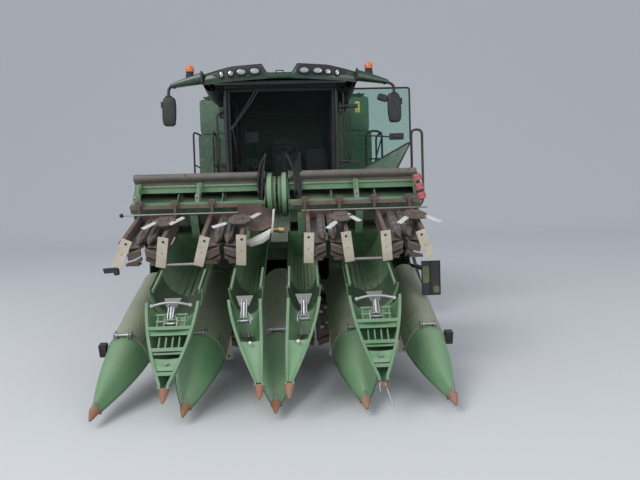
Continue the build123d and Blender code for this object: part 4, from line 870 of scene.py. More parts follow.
def broken_tip(shape):
    """Bent steel straps and a hanging pin where a tip is missing."""
    for route, radius, mat in (
            (((-0.02, -1.17, 0.34), (-0.035, -1.215, 0.335), (-0.01, -1.245, 0.30), (0.02, -1.225, 0.29)),
             0.007, 3),
            (((0.015, -1.17, 0.33), (0.04, -1.21, 0.325), (0.03, -1.26, 0.345)), 0.006, 5),
            (((-0.05, -1.40, 0.285), (-0.062, -1.41, 0.28), (-0.066, -1.35, 0.29)), 0.005, 5)):
        shape.tube(route, radius, mat, smooth=True)
    shape.rod((-0.012, -1.20, 0.325), (-0.05, -1.40, 0.285), 0.006, 5)
    shape.ball((0.005, -1.20, 0.33), 0.018, 3, (1.2, 0.7, 0.8))


class COMBINE_OT_hanging_points(bpy.types.Operator):
    """The wings' divider points, hanging open side out, with their ribs, cross walls and latches."""

    bl_idname = "combine.hanging_points"
    bl_label = "Hanging points"

    def execute(self, context):
        for name, side in SIDES:
            points = Shape(point_place(side))
            for x, half, offset in WING_DIVIDERS:
                divider, wide = Divider(x, half, offset), half > 0.2
                divider.shell(points, context.scene.combine_header.shell_wall)
                divider.lugs(points, 5)
                if wide and side > 0:
                    broken_tip(points.at(shift(x + offset)))
                else:
                    divider.tip(points, 3, 4)
                latch(points.at(shift(x)), 5, 4)
                (ribbed_inside if wide else plain_inside)(points, divider)
            add_piece(f"wing_points_{name}", points,
                      "inner_paint divider_paint flange_paint tip_rust grey_metal "
                      "galvanised white_paddle pale_inner", f"wing_points_{name}",
                      (f"wing_snouts_{name}",))
        return {"FINISHED"}


class COMBINE_OT_wing_hoods(bpy.types.Operator):
    """The wings' barrel hoods, upside down, with their cross tubes."""

    bl_idname = "combine.wing_hoods"
    bl_label = "Wing hoods"

    def execute(self, context):
        wall = context.scene.combine_header.shell_wall
        for name, side in SIDES:
            hoods = Shape(wing_place(side))
            for row in WING_DIVIDERS:
                divider = Divider(*row)
                divider.hood(hoods, wall, -0.05)
                # A near-black lining over the front part of each hood's inside: painted shade deep in the
                # hood
                hoods.patch(20, 4, lambda s, t: divider.hood_skin(s, 0.04 + 0.31 * t, wall + 0.004), 4)
                for sign in (1, -1):
                    edge = divider.x + sign * divider.half * 0.86
                    hoods.slab(edge, 0.01, (-0.46, HOOD_BASE), (-0.1, 0.262))
            hoods.bar(2.07, 2.43, (-0.05, 0.205), 0.016, 3)
            add_piece(f"wing_hoods_skin_{name}", hoods,
                      "inner_paint inner_paint galvanised worn_steel dark_inner",
                      f"wing_{name}", (f"wing_hoods_{name}",))
        return {"FINISHED"}


# Row units

def stalk_roll(shape, side, roll_radius, flutes):
    """One fluted stalk roll with its pointed front end."""
    shape = shape.at(shift(side * (roll_radius + 0.008)))
    core = roll_radius - 0.016
    shape.rod((0, 0.09, 0), (0, 0.574, 0), core)
    shape.lathe(((0, 0.0), (0.006, 0.010), (0.05, 0.026), (0.082, 0.037), (0.096, 0.039), (0.104, 0.030)),
                (0, -0.004, 0), (0, 1, 0), 1, 20)
    for index in range(flutes):
        flute = shape.at(Matrix.Rotation(math.tau * index / flutes, 4, "Y"))
        flute.slab(0, 0.0035, (0.098, core - 0.004), (0.56, roll_radius))
    for u in (0.20, 0.33, 0.46):
        shape.rod((0, u, 0), (0, u + 0.012, 0), core + 0.006, 1)


def chain(shape, side, pitch):
    """A gathering chain of plates and rollers round its two wheels, with tall lugs."""
    centre, half, low, high = side * 0.108, 0.042, 0.04, 0.59
    straight, arc = high - low, math.pi * half
    length = 2 * (straight + arc)
    count = int(length / pitch)
    for index in range(count):
        d = index * length / count
        returning = d >= straight + arc
        d -= (straight + arc) * returning
        way = -1 if returning else 1
        start = high if returning else low
        a = max(0.0, d - straight) / half
        spot = (centre - way * side * half * math.cos(a),
                start + way * (min(d, straight) + half * math.sin(a)))
        link = shape.at(shift(*spot, 0.083) @ Matrix.Rotation(way * math.pi / 2 - side * a, 4, "Z"))
        for level in (-0.009, 0.009):
            link.slab(0, pitch * 0.62, (-0.008, level - 0.0015), (0.008, level + 0.0015))
        link.rod((0, 0, -0.012), (0, 0, 0.012), 0.007, 1, segments=8)
        if index % 7 == 3:
            link.block((-0.010, side * -0.030, 0.010), (0.010, side * 0.010, 0.034), 2)
    for u in (low, high):
        wheel = shape.at(shift(centre, u))
        wheel.rod((0, 0, 0.070), (0, 0, 0.082), 0.034)
        for tooth in range(9):
            turn = Matrix.Rotation(math.tau * tooth / 9, 4, "Z")
            wheel.at(turn).block((0.028, -0.005, 0.072), (0.042, 0.005, 0.080))
        wheel.rod((0, 0, 0.082), (0, 0, 0.104), 0.012, 1, segments=6)


# Plates under a row unit's nose: outline, material and front face
NOSE_SHEETS = (
    (((0.024, 0.036), (0.15, 0.088), (0.15, 0.148), (0.10, 0.135), (0.024, 0.098)), 3, -0.055),
    (((0.024, 0.030), (0.152, 0.082), (0.152, 0.091), (0.024, 0.040)), 7, -0.062),
    (((0.02, 0.118), (0.10, 0.165), (0.18, 0.186), (0.178, 0.206), (0.09, 0.192), (0.02, 0.15)), 0, -0.058),
)


def row_unit(shape, pitch, leans):
    """Arms, decks, chains, gearbox and cream nose plates of one row."""
    shape.slab(0, 0.165, (0.576, -0.0537), (0.705, 0.05), 3)
    for x in (-0.13, 0.13):
        shape.rod((x, 0.64, 0.05), (x, 0.64, 0.075), 0.03, 3)
    for side, lean in zip((1, -1), leans):
        shape.slab(side * 0.187, 0.02, (-0.045, -0.05), (0.705, 0.052), 3)
        for outline, low, high, mat in (
                (((0.024, 0.05), (0.036, 0.03), (0.2, 0.03), (0.2, 0.64), (0.024, 0.64)), 0.05, 0.058, 5),
                (((0.024, 0.03), (0.2, -0.02), (0.2, 0.034), (0.054, 0.034)), 0.042, 0.05, 3),
                (((0.06, -0.058), (0.17, -0.05), (0.17, -0.01), (0.04, -0.01)), 0.186, 0.206, 3)):
            shape.prism(mirror(outline, side), "Z", low, high, mat)
        for outline, mat, u in NOSE_SHEETS:
            shape.prism(mirror(outline, side), "Y", u, -0.022, mat)
        chain(shape, side, pitch)
        plate = shape.at(shift(side * 0.187, -0.062, 0.05) @ turned(-lean, "Y"))
        plate.prism(((-0.049, -0.15), (0.049, -0.15), (0.049, 0.176), (-0.047, 0.176)), "Y", -0.006, 0.002, 4)
        plate.rod((0.004, -0.0085, -0.105), (0.004, -0.003, -0.105), 0.0125, 6)
        plate.rod((0.002, -0.007, 0.02), (0.002, -0.003, 0.02), 0.006, 6)

        def guard(s, t):
            return Vector((side * (0.195 + 0.01 * t), 0.02 + 0.6 * s,
                           0.055 + 0.05 * math.sin(math.pi * t / 2)))

        shape.patch(8, 3, guard, 3)


class COMBINE_OT_row_units(bpy.types.Operator):
    """Row units and stalk rolls of the centre section and the folded wings."""

    bl_idname = "combine.row_units"
    bl_label = "Row units"

    def execute(self, context):
        sizes = context.scene.combine_header
        jobs = [("", "", header_place(), [s * x for x in ROWS for s in (1, -1)], "header")]
        jobs += [(f"_{name}", "wing_", wing_place(side), WING_ROWS, f"wing_{name}") for name, side in SIDES]
        for suffix, prefix, place, rows, body in jobs:
            units, rolls = Shape(place), Shape(place)
            for x in rows:
                row_unit(units.at(shift(x)), sizes.chain_pitch, LEANS.get((suffix, x), (0, 0)))
                for side in (1, -1):
                    stalk_roll(rolls.at(shift(x)), side, sizes.roll_radius, sizes.flutes)
            add_piece(f"row_unit_parts{suffix}", units,
                      "rusty_steel worn_steel white_paddle brown_sheet wear_paint "
                      "worn_steel rubber muddy_steel", body, (f"{prefix}row_units{suffix}",),
                      bevel=0.0012)
            add_piece(f"fluted_rolls{suffix}", rolls, "worn_steel rusty_steel", body,
                      (f"{prefix}stalk_rolls{suffix}",))
        return {"FINISHED"}


# Wing frames

def chopper(shape, row_x):
    """The stalk chopper under a row unit: a hub with worn, pale blades."""
    hub = shape.at(shift(row_x) @ Matrix.Translation(CHOPPER_HUB))
    hub.lathe(((-0.05, 0.0), (-0.05, 0.05), (-0.01, 0.06), (-0.004, 0.112), (0.012, 0.116), (0.016, 0.085),
               (0.024, 0.05), (0.038, 0.044), (0.04, 0.0)), (0, 0, 0), (0, 0, 1), 4, 28)
    for spot in circle(0.1, 6, 0.008):
        hub.ball(spot, 0.026, 4, (1, 1, 0.6))
    spots = [(0.066 * math.cos(a), 0.066 * math.sin(a), 0.02) for a in (0.3, 1.87, 3.44, 5.01)]
    hub.bolts(spots, (0, 0, 1), 0.01, 5)
    for x0, u0, x1, u1 in CHOPPERS[row_x]:
        start, end = Vector((x0, u0, 0.012)), Vector((x1, u1, 0.012))
        mid, along = (start + end) / 2, end - start
        half = along.length / 2
        blade = hub.at(Matrix.Translation(mid) @ Matrix.Rotation(math.atan2(along.y, along.x), 4, "Z"))
        outline = ((-half, -0.027), (half - 0.02, -0.027), (half, -0.012), (half, 0.027), (-half, 0.027))
        blade.prism(outline, "Z", -0.004, 0.004, 7)
        holder = hub.at(Matrix.Rotation(math.atan2(mid.y, mid.x), 4, "Z"))
        holder.block((0, -0.018, -0.004), (mid.length * 0.62, 0.018, 0.006), 4)
        hub.rod(mid * 0.6 - Vector((0, 0, 0.012)), mid * 0.6 + Vector((0, 0, 0.016)), 0.012, 5)


def circle_through(first, second, third):
    """Centre and radius of the circle through three flat points."""
    (ax, ay), (bx, by), (cx, cy) = first, second, third
    scale = 2 * (ax * (by - cy) + bx * (cy - ay) + cx * (ay - by))
    a, b, c = ax * ax + ay * ay, bx * bx + by * by, cx * cx + cy * cy
    x = (a * (by - cy) + b * (cy - ay) + c * (ay - by)) / scale
    y = (a * (cx - bx) + b * (ax - cx) + c * (bx - ax)) / scale
    return x, y, math.hypot(ax - x, ay - y)


def end_drum(shape, side):
    """Bolts, a hub cap and a belt strap on the round end housing."""
    drum = shape.at(shift(side * 0.02, *DRUM_SPOT) @ Matrix.Rotation(-side * math.pi / 2, 4, "Y"))
    cap = ((0.0, 0.0), (0.0, 0.20), (0.012, 0.205), (0.02, 0.19), (0.012, 0.12), (0.02, 0.07), (0.035, 0.06),
           (0.035, 0.0))
    drum.lathe(cap, (0, 0, -0.012), (0, 0, 1), 9, 48)
    drum.bolts(circle(0.165, 8, 0.006), (0, 0, 1), 0.011, 5)
    strap = ((-0.042, 0.236), (-0.042, 0.244), (0.006, 0.247), (0.006, 0.236))
    shape.lathe(strap, (side * 0.098, *DRUM_SPOT), (side, 0, 0), 9, 64)


def end_guard(shape, side):
    """A dark skin over the bent plate by the end housing, and its turned front edge."""
    centre_x, centre_z, bend = circle_through((0.104, 2.385), (0.190, 2.130), (0.176, 1.875))
    rear = -3.64

    def skin(s, t):
        z = 1.876 + 0.508 * t
        x = centre_x + math.sqrt(bend ** 2 - (z - centre_z) ** 2)
        front = max(-3.8, -3.56 - math.sqrt(max(0.0, 0.3 ** 2 - (z - 2.13) ** 2)))
        across, along = (max(-1, min(1, 1.5 * turn(math.tau * s))) for turn in (math.cos, math.sin))
        return Vector((side * (x + 0.006 + 0.0085 * across),
                       (front + rear) / 2 - (0.004 + (rear - front) / 2) * along, z))

    def blade(s, t):
        if side < 0:
            x = 0.108 + 0.062 * min(1, t * 1.9) ** 0.8
            width = 0.006 + 0.05 * math.sin(math.pi * min(1, t * 0.85 + 0.08)) ** 0.8
        else:
            x = 0.262 - 0.028 * math.sin(math.pi * t)
            width = 0.006 + 0.085 * math.sin(math.pi * min(1, t * 0.9 + 0.05)) ** 1.2
        return Vector((side * (x + (s - 0.5) * width), -3.83 + 0.05 * s + 0.03 * math.sin(math.pi * t),
                       2.383 - 0.505 * t))

    shape.patch(24, 30, skin, 6, closed=True)
    shape.patch(6, 24, blade, 6)


def sheet_between(shape, low, high, bow_out, mat, y):
    """A sheet between two lists of (x, z) points, bowed toward the front."""

    def between(line, s):
        spot = s * (len(line) - 1)
        k = min(int(spot), len(line) - 2)
        return Vector(line[k]).lerp(Vector(line[k + 1]), spot - k)

    def surface(s, t):
        flat = between(low, s).lerp(between(high, s), t)
        return Vector((flat.x, y - bow_out * math.sin(math.pi * t) - 0.02 * math.sin(math.pi * s), flat.y))

    shape.patch(18, 8, surface, mat)


# The brown curved sheet at the right wing's inner end, its white edge and lip and the green plate behind:
# lower and upper (x, z) points, bow, material and plane
STALK_SHIELD = (
    (((-0.36, 1.60), (-0.25, 1.55), (-0.15, 1.55), (-0.055, 1.59)),
     ((-0.40, 1.834), (-0.30, 1.832), (-0.2, 1.815), (-0.03, 1.762)), -0.05, 3, -4.10),
    (((-0.305, 1.41), (-0.26, 1.392), (-0.14, 1.425), (-0.075, 1.47)),
     ((-0.305, 1.462), (-0.23, 1.49), (-0.14, 1.53), (-0.052, 1.575)), 0.02, 7, -4.125),
    (((-0.058, 1.52), (-0.04, 1.64), (-0.032, 1.765)), ((-0.036, 1.535), (-0.02, 1.64), (-0.008, 1.775)),
     0.008, 7, -4.12),
    (((-0.33, 1.44), (-0.28, 1.475)), ((-0.34, 1.62), (-0.26, 1.57)), 0.0, 9, -4.09),
)


class COMBINE_OT_wing_frames(bpy.types.Operator):
    """Tubes, struts, clamps, end drums and guards on the folded wings' frames."""

    bl_idname = "combine.wing_frames"
    bl_label = "Wing frames"

    def execute(self, context):
        near, far = WING_ENDS
        # The first beam is the brown plate set back in the tool bar's channel; its brown is mud and painted
        # shade of the recess
        beams = ((near + 0.01, far - 0.01, (-3.712, 2.070), (-3.700, 2.118), 3),
                 (near, far, (-3.732, 2.046), (-3.664, 2.068), 2),
                 (near, far, (-3.716, 1.985), (-3.708, 2.048), 1),
                 (near + 0.02, far - 0.02, (-3.9, 1.846), (-3.86, 1.872), 2),
                 (near + 0.02, far - 0.02, (-3.955, 1.805), (-3.93, 1.842), 3))
        for (name, side), clamps, struts in zip(SIDES, CLAMPS_X, STRUTS_X):
            wing = Shape()
            for x0, x1, low, high, mat in beams:
                wing.block((side * x0, *low), (side * x1, *high), mat)
            wing.bar(side * (near + 0.03), side * far, (-3.722, 2.152), 0.042)
            wing.bar(side * 0.26, side * (far + 0.05), (-4.0, 1.748), 0.009, 5)
            for x in clamps:
                wing.slab(side * x, 0.032, (-3.985, 1.835), (-3.93, 1.895), 4)
                wing.bar(side * (x - 0.038), side * (x + 0.038), (-3.965, 1.872), 0.014, 4)
                wing.slab(side * x, 0.012, (-3.99, 1.76), (-3.97, 1.85), 4)
            for top, foot in struts:
                self.strut(wing, side, top, foot)
            end_drum(wing, side)
            end_guard(wing, side)
            if side < 0:
                for low, high, bow_out, mat, y in STALK_SHIELD:
                    sheet_between(wing, low, high, bow_out, mat, y)
                wing.ball((-1.60, -4.0, 1.748), 0.022, 6)
                wing.block((-0.40, -4.03, 1.735), (-0.255, -4.0, 1.815), 3)
                wing.prism(((-1.66, 1.238), (-1.52, 1.245), (-1.515, 1.172), (-1.548, 1.168), (-1.56, 1.195),
                            (-1.645, 1.19)), "Y", -4.40, -4.35, 6)
            else:
                wing.lathe(((0, 0.0), (0, 0.03), (0.06, 0.034), (0.075, 0.024), (0.13, 0.022), (0.13, 0.0)),
                           (0.075, -3.9, 1.55), (-1, 0, 0), 8, 24)
            for row_x in CHOPPERS:
                if row_x * side > 0:
                    chopper(wing.at(header_place()), row_x)
            add_piece(f"wing_dress_{name}", wing,
                      "muddy_steel inner_paint flange_paint brown_sheet rusty_steel "
                      "worn_steel rubber white_paddle brass_fitting divider_paint", f"wing_{name}",
                      bevel=0.002)
        return {"FINISHED"}

    def strut(self, wing, side, top, foot):
        """A slanted strap with its gusset, foot plate and bolts."""
        outline = ((top, 2.08), (top + 0.05, 2.08), (foot + 0.03, 1.85), (foot - 0.03, 1.85))
        wing.prism(mirror(outline, side), "Y", -3.80, -3.775, 2)
        gusset = side * (top + 0.02)
        wing.prism(((-3.80, 2.09), (-3.68, 2.09), (-3.80, 1.90)), "X", gusset - 0.005, gusset + 0.005, 1)
        wing.slab(side * foot, 0.022, (-3.812, 1.80), (-3.800, 1.96), 5)
        for z in (1.835, 1.92):
            wing.rod((side * foot, -3.816, z), (side * foot, -3.811, z), 0.009, 6)


# Cross augers and feeder

class COMBINE_OT_augers(bpy.types.Operator):
    """Helical flights of the header's three cross augers."""

    bl_idname = "combine.augers"
    bl_label = "Cross augers"

    def execute(self, context):
        jobs = [("header_auger", "header_auger_body", -1.49, 1.49, 0.0)]
        for name, side in SIDES:
            low, high = (v[0] - SHIFT.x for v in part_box(f"wing_auger_{name}"))
            turn_back = high - 0.06 if side > 0 else low + 0.06
            jobs.append((f"wing_auger_{name}", f"wing_auger_body_{name}", low, high, turn_back))
        for node, body, x0, x1, turn_back in jobs:
            spot = (middle(node) - SHIFT).yz
            auger = Shape()
            auger.bar(x0 + 0.05, x1 - 0.05, spot, AUGER_TUBE + 0.005, 0, segments=36)
            auger.bar(x0, x1, spot, 0.028, 1)
            self.flight(auger, x0 + 0.06, x1 - 0.06, spot, turn_back)
            add_piece(f"{node}_flights", auger, "worn_steel rusty_steel", body, (node,))
        return {"FINISHED"}

    def flight(self, auger, x0, x1, spot, turn_back):
        """A flight whose hand changes at turn_back."""
        for thick in (0, 0.006):
            def surface(s, t):
                x = x0 + (x1 - x0) * t
                angle = math.tau * abs(x - turn_back) / AUGER_PITCH
                radius = AUGER_TUBE + (AUGER_RADIUS - AUGER_TUBE) * s
                return Vector((x + thick * (1 - 0.5 * s), spot[0] + radius * math.cos(angle),
                               spot[1] + radius * math.sin(angle)))

            auger.patch(4, int((x1 - x0) / AUGER_PITCH * 28), surface)


class COMBINE_OT_feeder_parts(bpy.types.Operator):
    """Ribs, hoses, a reverser box and clamps on the feeder house."""

    bl_idname = "combine.feeder_parts"
    bl_label = "Feeder parts"

    def execute(self, context):
        feeder = Shape()
        for side in (1, -1):
            for y, z in ((-2.5, 1.0), (-1.9, 1.17), (-1.3, 1.34), (-0.8, 1.46)):
                feeder.slab(side * 0.625, 0.012, (y - 0.03, z - 0.30), (y + 0.03, z + 0.28))
            feeder.slab(side * 0.63, 0.03, (-2.797, 0.62), (-2.70, 1.19))
            spots = [(side * 0.656, -2.74, z) for z in (0.70, 0.82, 0.94, 1.06, 1.15)]
            feeder.bolts(spots, (side, 0, 0), 0.014, 2)
            cap = ((0, 0.0), (0, 0.11), (0.02, 0.12), (0.06, 0.11), (0.07, 0.05), (0.09, 0.045), (0.09, 0.0))
            feeder.lathe(cap, (side * 0.625, -2.45, 0.86), (side, 0, 0), 1)
            for hose, radius in (
                    (((0.66, -0.5, 1.6), (0.67, -1.3, 1.50), (0.67, -2.2, 1.22), (0.66, -2.72, 1.16)), 0.014),
                    (((0.69, -0.5, 1.64), (0.70, -1.4, 1.50), (0.69, -2.3, 1.22), (0.66, -2.74, 1.2)),
                     0.011)):
                feeder.tube(mirror(hose, side), radius, 1, smooth=True)
        feeder.block((0.63, -1.6, 1.06), (0.70, -1.1, 1.36), 1)
        rib = ((-2.7, 1.205), (-0.6, 1.895), (-0.6, 1.915), (-2.7, 1.225))
        for x in (-0.4, -0.13, 0.13, 0.4):
            feeder.prism(rib, "X", x - 0.012, x + 0.012)
        add_piece("feeder_parts", feeder, "frame_paint black_paint galvanised", "header",
                  bevel=0.003)
        return {"FINISHED"}


# Cab

def fascia_top(x):
    """Height of the roof's front edge at x."""
    x = abs(x)
    if x < 0.185:
        return 3.865
    if x < 0.262:
        return 3.865 + (x - 0.185) / 0.077 * 0.13
    if x < 0.70:
        return 3.995 - 0.02 * (x - 0.262) / 0.438
    return 3.975 - 0.1 * ((x - 0.70) / 0.455) ** 1.15


def fascia_base(x):
    return 3.765 - 0.055 * (abs(x) / ROOF_HALF) ** 1.6


def front_y(x):
    """The roof's front edge from above."""
    return ROOF_FRONT + 0.10 * (abs(x) / 1.155) ** 2.2


class COMBINE_OT_cab_roof(bpy.types.Operator):
    """The roof with its two raised lamp housings, arms and beacons."""

    bl_idname = "combine.cab_roof"
    bl_label = "Cab roof"

    def execute(self, context):
        roof = Shape()

        def upper(s, t):
            x = (2 * s - 1) * ROOF_HALF
            y0 = front_y(x)
            y = y0 + (ROOF_REAR - 0.01 - y0) * t
            blend = min(1, max(0, (y - y0) / (ROOF_BROW - y0)))
            height = fascia_top(x) * (1 - blend ** 2) + 3.87 * blend ** 2
            edge = min(1, (1 - abs(2 * s - 1)) / 0.05, t / 0.012 + 0.35, (1 - t) / 0.03)
            return Vector((x, y, height - 0.03 * (1 - max(0, edge)) ** 2))

        def fascia(s, t):
            x = (2 * s - 1) * ROOF_HALF
            top = fascia_top(x) - 0.012
            bulge = 0.022 * math.sin(math.pi * t)
            return Vector((x, front_y(x) - bulge + 0.012 * (1 - t), top + (fascia_base(x) - top) * t))

        roof.patch(96, 40, upper)
        roof.patch(96, 10, fascia)
        for side in (1, -1):
            self.flank(roof, side)
            self.lamp_panel(roof, side)
            self.arm(roof, side)
        roof.slab(0, 1.12, (ROOF_REAR - 0.02, 3.75), (ROOF_REAR, 3.84))
        self.underside(roof)
        handle = ((-0.055, -1.70, 3.85), (-0.055, -1.71, 3.892), (0.055, -1.71, 3.892), (0.055, -1.70, 3.85))
        roof.tube(handle, 0.007, 1, bend=0.01)
        add_piece("roof_skin", roof, "roof_paint black_plastic lamp_glass amber_lens galvanised", "machine",
                  ("cab_roof", "roof_lights"))
        return {"FINISHED"}

    def flank(self, roof, side):
        """The roof's side face."""

        def surface(s, t):
            y = front_y(ROOF_HALF) + (ROOF_REAR - front_y(ROOF_HALF)) * s
            blend = min(1, max(0, (y - ROOF_FRONT) / (ROOF_BROW - ROOF_FRONT)))
            top = 3.87 * (1 - blend) + 3.845 * blend
            return Vector((side * (ROOF_HALF + 0.006 * math.sin(math.pi * t)), y, top + (3.71 - top) * t))

        roof.patch(24, 4, surface)

    def lamp_panel(self, roof, side):
        """A dark sloping panel with four lamps."""

        def panel(s, t):
            x = 0.245 + 0.76 * s
            round_off = 0.045 * abs(2 * s - 1) ** 5
            low = 3.798 + round_off
            high = min(3.962, fascia_top(x) - 0.022) - round_off
            return Vector((side * x, front_y(x) - 0.027 + 0.01 * t, low + (high - low) * t))

        roof.patch(16, 4, panel, 1)
        for x, z, rx, rz in ((0.365, 3.868, 0.098, 0.058), (0.565, 3.862, 0.096, 0.056),
                             (0.72, 3.848, 0.055, 0.053), (0.86, 3.838, 0.036, 0.06)):
            lamp = roof.at(shift(side * x, front_y(x) - 0.03, z) @ Matrix.Diagonal((rx, 1, rz, 1)))
            for profile, mat, steps in (
                    (((-0.02, 0.0), (-0.02, 0.80), (-0.012, 0.90), (-0.014, 1.0), (0.01, 1.04)), 1, 28),
                    (((-0.024, 0.0), (-0.023, 0.4), (-0.0185, 0.74)), 2, 28),
                    (((-0.027, 0.0), (-0.026, 0.22), (-0.020, 0.26)), 4, 16)):
                lamp.lathe(profile, (0, 0, 0), (0, 1, 0), mat, steps)

    def arm(self, roof, side):
        """The wedge-shaped arm with its beacon."""

        def skin(s, t):
            top, base = 3.895 - 0.15 * t ** 1.15, 3.742 - 0.06 * t
            angle = math.tau * s
            return Vector((side * (1.165 + 0.455 * t),
                           ARM_Y - (0.085 - 0.035 * t) * bow(math.cos(angle), 0.6),
                           (top + base) / 2 + (top - base) / 2 * bow(math.sin(angle), 0.6)))

        roof.patch(32, 10, skin, closed=True)
        roof.block((side * 1.145, -1.725, 3.735), (side * 1.172, -1.545, 3.90), 1)
        roof.block((side * 1.62, -1.665, 3.705), (side * 1.638, -1.595, 3.73), 1)
        foot = (side * 1.345, ARM_Y, 3.85)
        socket = ((-0.03, 0.06), (0.02, 0.062), (0.03, 0.05), (0.055, 0.058), (0.062, 0.058), (0.062, 0.0))
        lens = ((0.058, 0.056), (0.085, 0.062), (0.12, 0.060), (0.15, 0.047), (0.168, 0.024), (0.172, 0.0))
        rings = [(((r, 0.058), (r + 0.004, 0.0645), (r + 0.008, 0.058)), 3) for r in (0.075, 0.092, 0.109)]
        for profile, mat in ((socket, 1), (lens, 3), *rings):
            roof.lathe(profile, foot, (0, 0, 1), mat, 28)

    def underside(self, roof):
        """The black lining with its bulges down both sides of the cab and its brow."""
        roof.slab(0, 0.99, (-1.68, 3.702), (0.33, 3.752), 1)
        for side in (1, -1):
            def bulge(s, t):
                angle = math.pi * s
                size = math.sin(math.pi * min(1, 0.12 + t)) ** 0.4
                return Vector((side * (1.0 - 0.15 * math.cos(angle)), -1.66 + 1.2 * t,
                               3.755 - 0.21 * size * math.sin(angle) ** 0.7))

            roof.patch(16, 16, bulge, 1)

        def brow(s, t):
            swell = math.sin(math.pi * s)
            return Vector(((2 * s - 1) * 0.98, -1.655 - 0.03 * swell + 0.09 * t,
                           3.75 - 0.085 * t + 0.02 * swell * t))

        roof.patch(24, 4, brow, 1)


def pillow(shape, half, across, along, up, rows, columns):
    """A rounded box about the shape's origin, with the powers that square it across, along and up."""

    def skin(s, t):
        a, b = math.tau * s, math.pi * (t - 0.5)
        flat = bow(math.cos(b), along[1])
        return Vector((half[0] * bow(math.cos(a), across) * flat, half[1] * bow(math.sin(a), along[0]) * flat,
                       half[2] * bow(math.sin(b), up)))

    shape.patch(rows, columns, skin, closed=True)


class COMBINE_OT_mirrors(bpy.types.Operator):
    """Rounded mirror heads on bent arms."""

    bl_idname = "combine.mirrors"
    bl_label = "Mirrors"

    def execute(self, context):
        mirrors = Shape()
        for side, x, z in ((1, 1.71, 3.302), (-1, 1.655, 3.318)):
            arm = ((1.58, ARM_Y, 3.72), (1.625, -1.66, 3.70), (x, MIRROR_Y, 3.64), (x, MIRROR_Y, 3.50))
            mirrors.tube(mirror(arm, side), 0.021, bend=0.05)
            mirrors.ball((side * 1.585, ARM_Y, 3.71), 0.036)
            mirrors.ball((side * x, MIRROR_Y, z + 0.215), 0.04, 0, (1.3, 1, 0.7))
            self.head(mirrors.at(shift(side * x, MIRROR_Y, z) @ turned(-2 * side, "Y")), 0.205, 0.43, 0.085)
            mirrors.block((side * x, -1.69, z + 0.06), (side * (x + 0.125), -1.665, z + 0.15))
        mirrors.tube(((1.66, MIRROR_Y, 3.498), (1.62, -1.705, 3.508)), 0.012)
        self.head(mirrors.at(shift(1.535, -1.71, 3.455) @ turned(18, "Y")), 0.165, 0.10, 0.06)
        add_piece("mirror_heads", mirrors, "black_plastic mirror_glass", "machine",
                  ("mirrors",))
        return {"FINISHED"}

    def head(self, shape, width, height, depth):
        """A rounded housing with its glass."""
        pillow(shape, (width / 2, depth / 2, height / 2), 0.55, (0.7, 0.35), 0.75, 36, 24)
        shape.slab(0, width * 0.42, (depth * 0.36, -height * 0.43), (depth * 0.46, height * 0.43), 1)


class COMBINE_OT_cab_front(bpy.types.Operator):
    """Pillars, wiper, grab rails, seals and sill round the windscreen."""

    bl_idname = "combine.cab_front"
    bl_label = "Cab front"

    def execute(self, context):
        parts = Shape()
        for side in (1, -1):
            pillar = ((0.835, -1.515, 2.30), (0.86, -1.53, 2.9), (0.845, -1.535, 3.66))
            parts.tube(mirror(pillar, side), 0.028, smooth=True)
            parts.tube(((side * 0.79, PANE_Y, 2.33), (side * 0.79, PANE_Y, 3.64)), 0.012, 1)
            x = 0.965 if side > 0 else -0.98
            inner = x - 0.10 * side
            rail = ((inner, -1.50, 3.36), (x, -1.545, 3.29), (x, -1.545, 2.56), (inner, -1.50, 2.49))
            parts.tube(rail, 0.016, bend=0.05)
        for z in (2.33, 3.645):
            parts.tube(((-0.80, PANE_Y, z), (0.80, PANE_Y, z)), 0.012, 1)
        parts.rod((-0.36, -1.56, 3.66), (-0.36, -1.51, 3.66), 0.028)
        for gap in (0.0, 0.045):
            wiper = ((-0.37 + gap, -1.575, 3.66), (-0.50 + gap, -1.585, 3.45),
                     (-0.755 + gap * 0.4, -1.565, 3.085))
            parts.tube(wiper, 0.008, bend=0.02)
        blade = ((-0.755, -1.555, 3.10), (-0.725, -1.55, 2.93), (-0.70, -1.545, 2.74))
        parts.tube(blade, 0.009, 1, bend=0.02)
        for low, high in (((-0.84, -1.55, 2.12), (0.84, -1.50, 2.31)),
                          ((-0.775, -1.575, 3.06), (-0.735, -1.545, 3.11)),
                          ((-0.95, -1.50, 3.25), (-0.86, -1.44, 3.42)),
                          ((-0.95, -1.50, 2.44), (-0.86, -1.44, 2.56))):
            parts.block(low, high)
        add_piece("cab_front_parts", parts, "black_plastic rubber galvanised", "machine",
                  bevel=0.003)
        return {"FINISHED"}


def cushion(name, low, high, node):
    """A crowned closed cushion that fills its box."""
    low, high = Vector(low), Vector(high)
    pad = Shape(Matrix.Translation((low + high) / 2))
    pillow(pad, (high - low) / 2, 0.3, (0.3, 0.3), 0.6, 48, 24)
    return add_piece(name, pad, "seat_cloth", "machine", node, sharp=80)


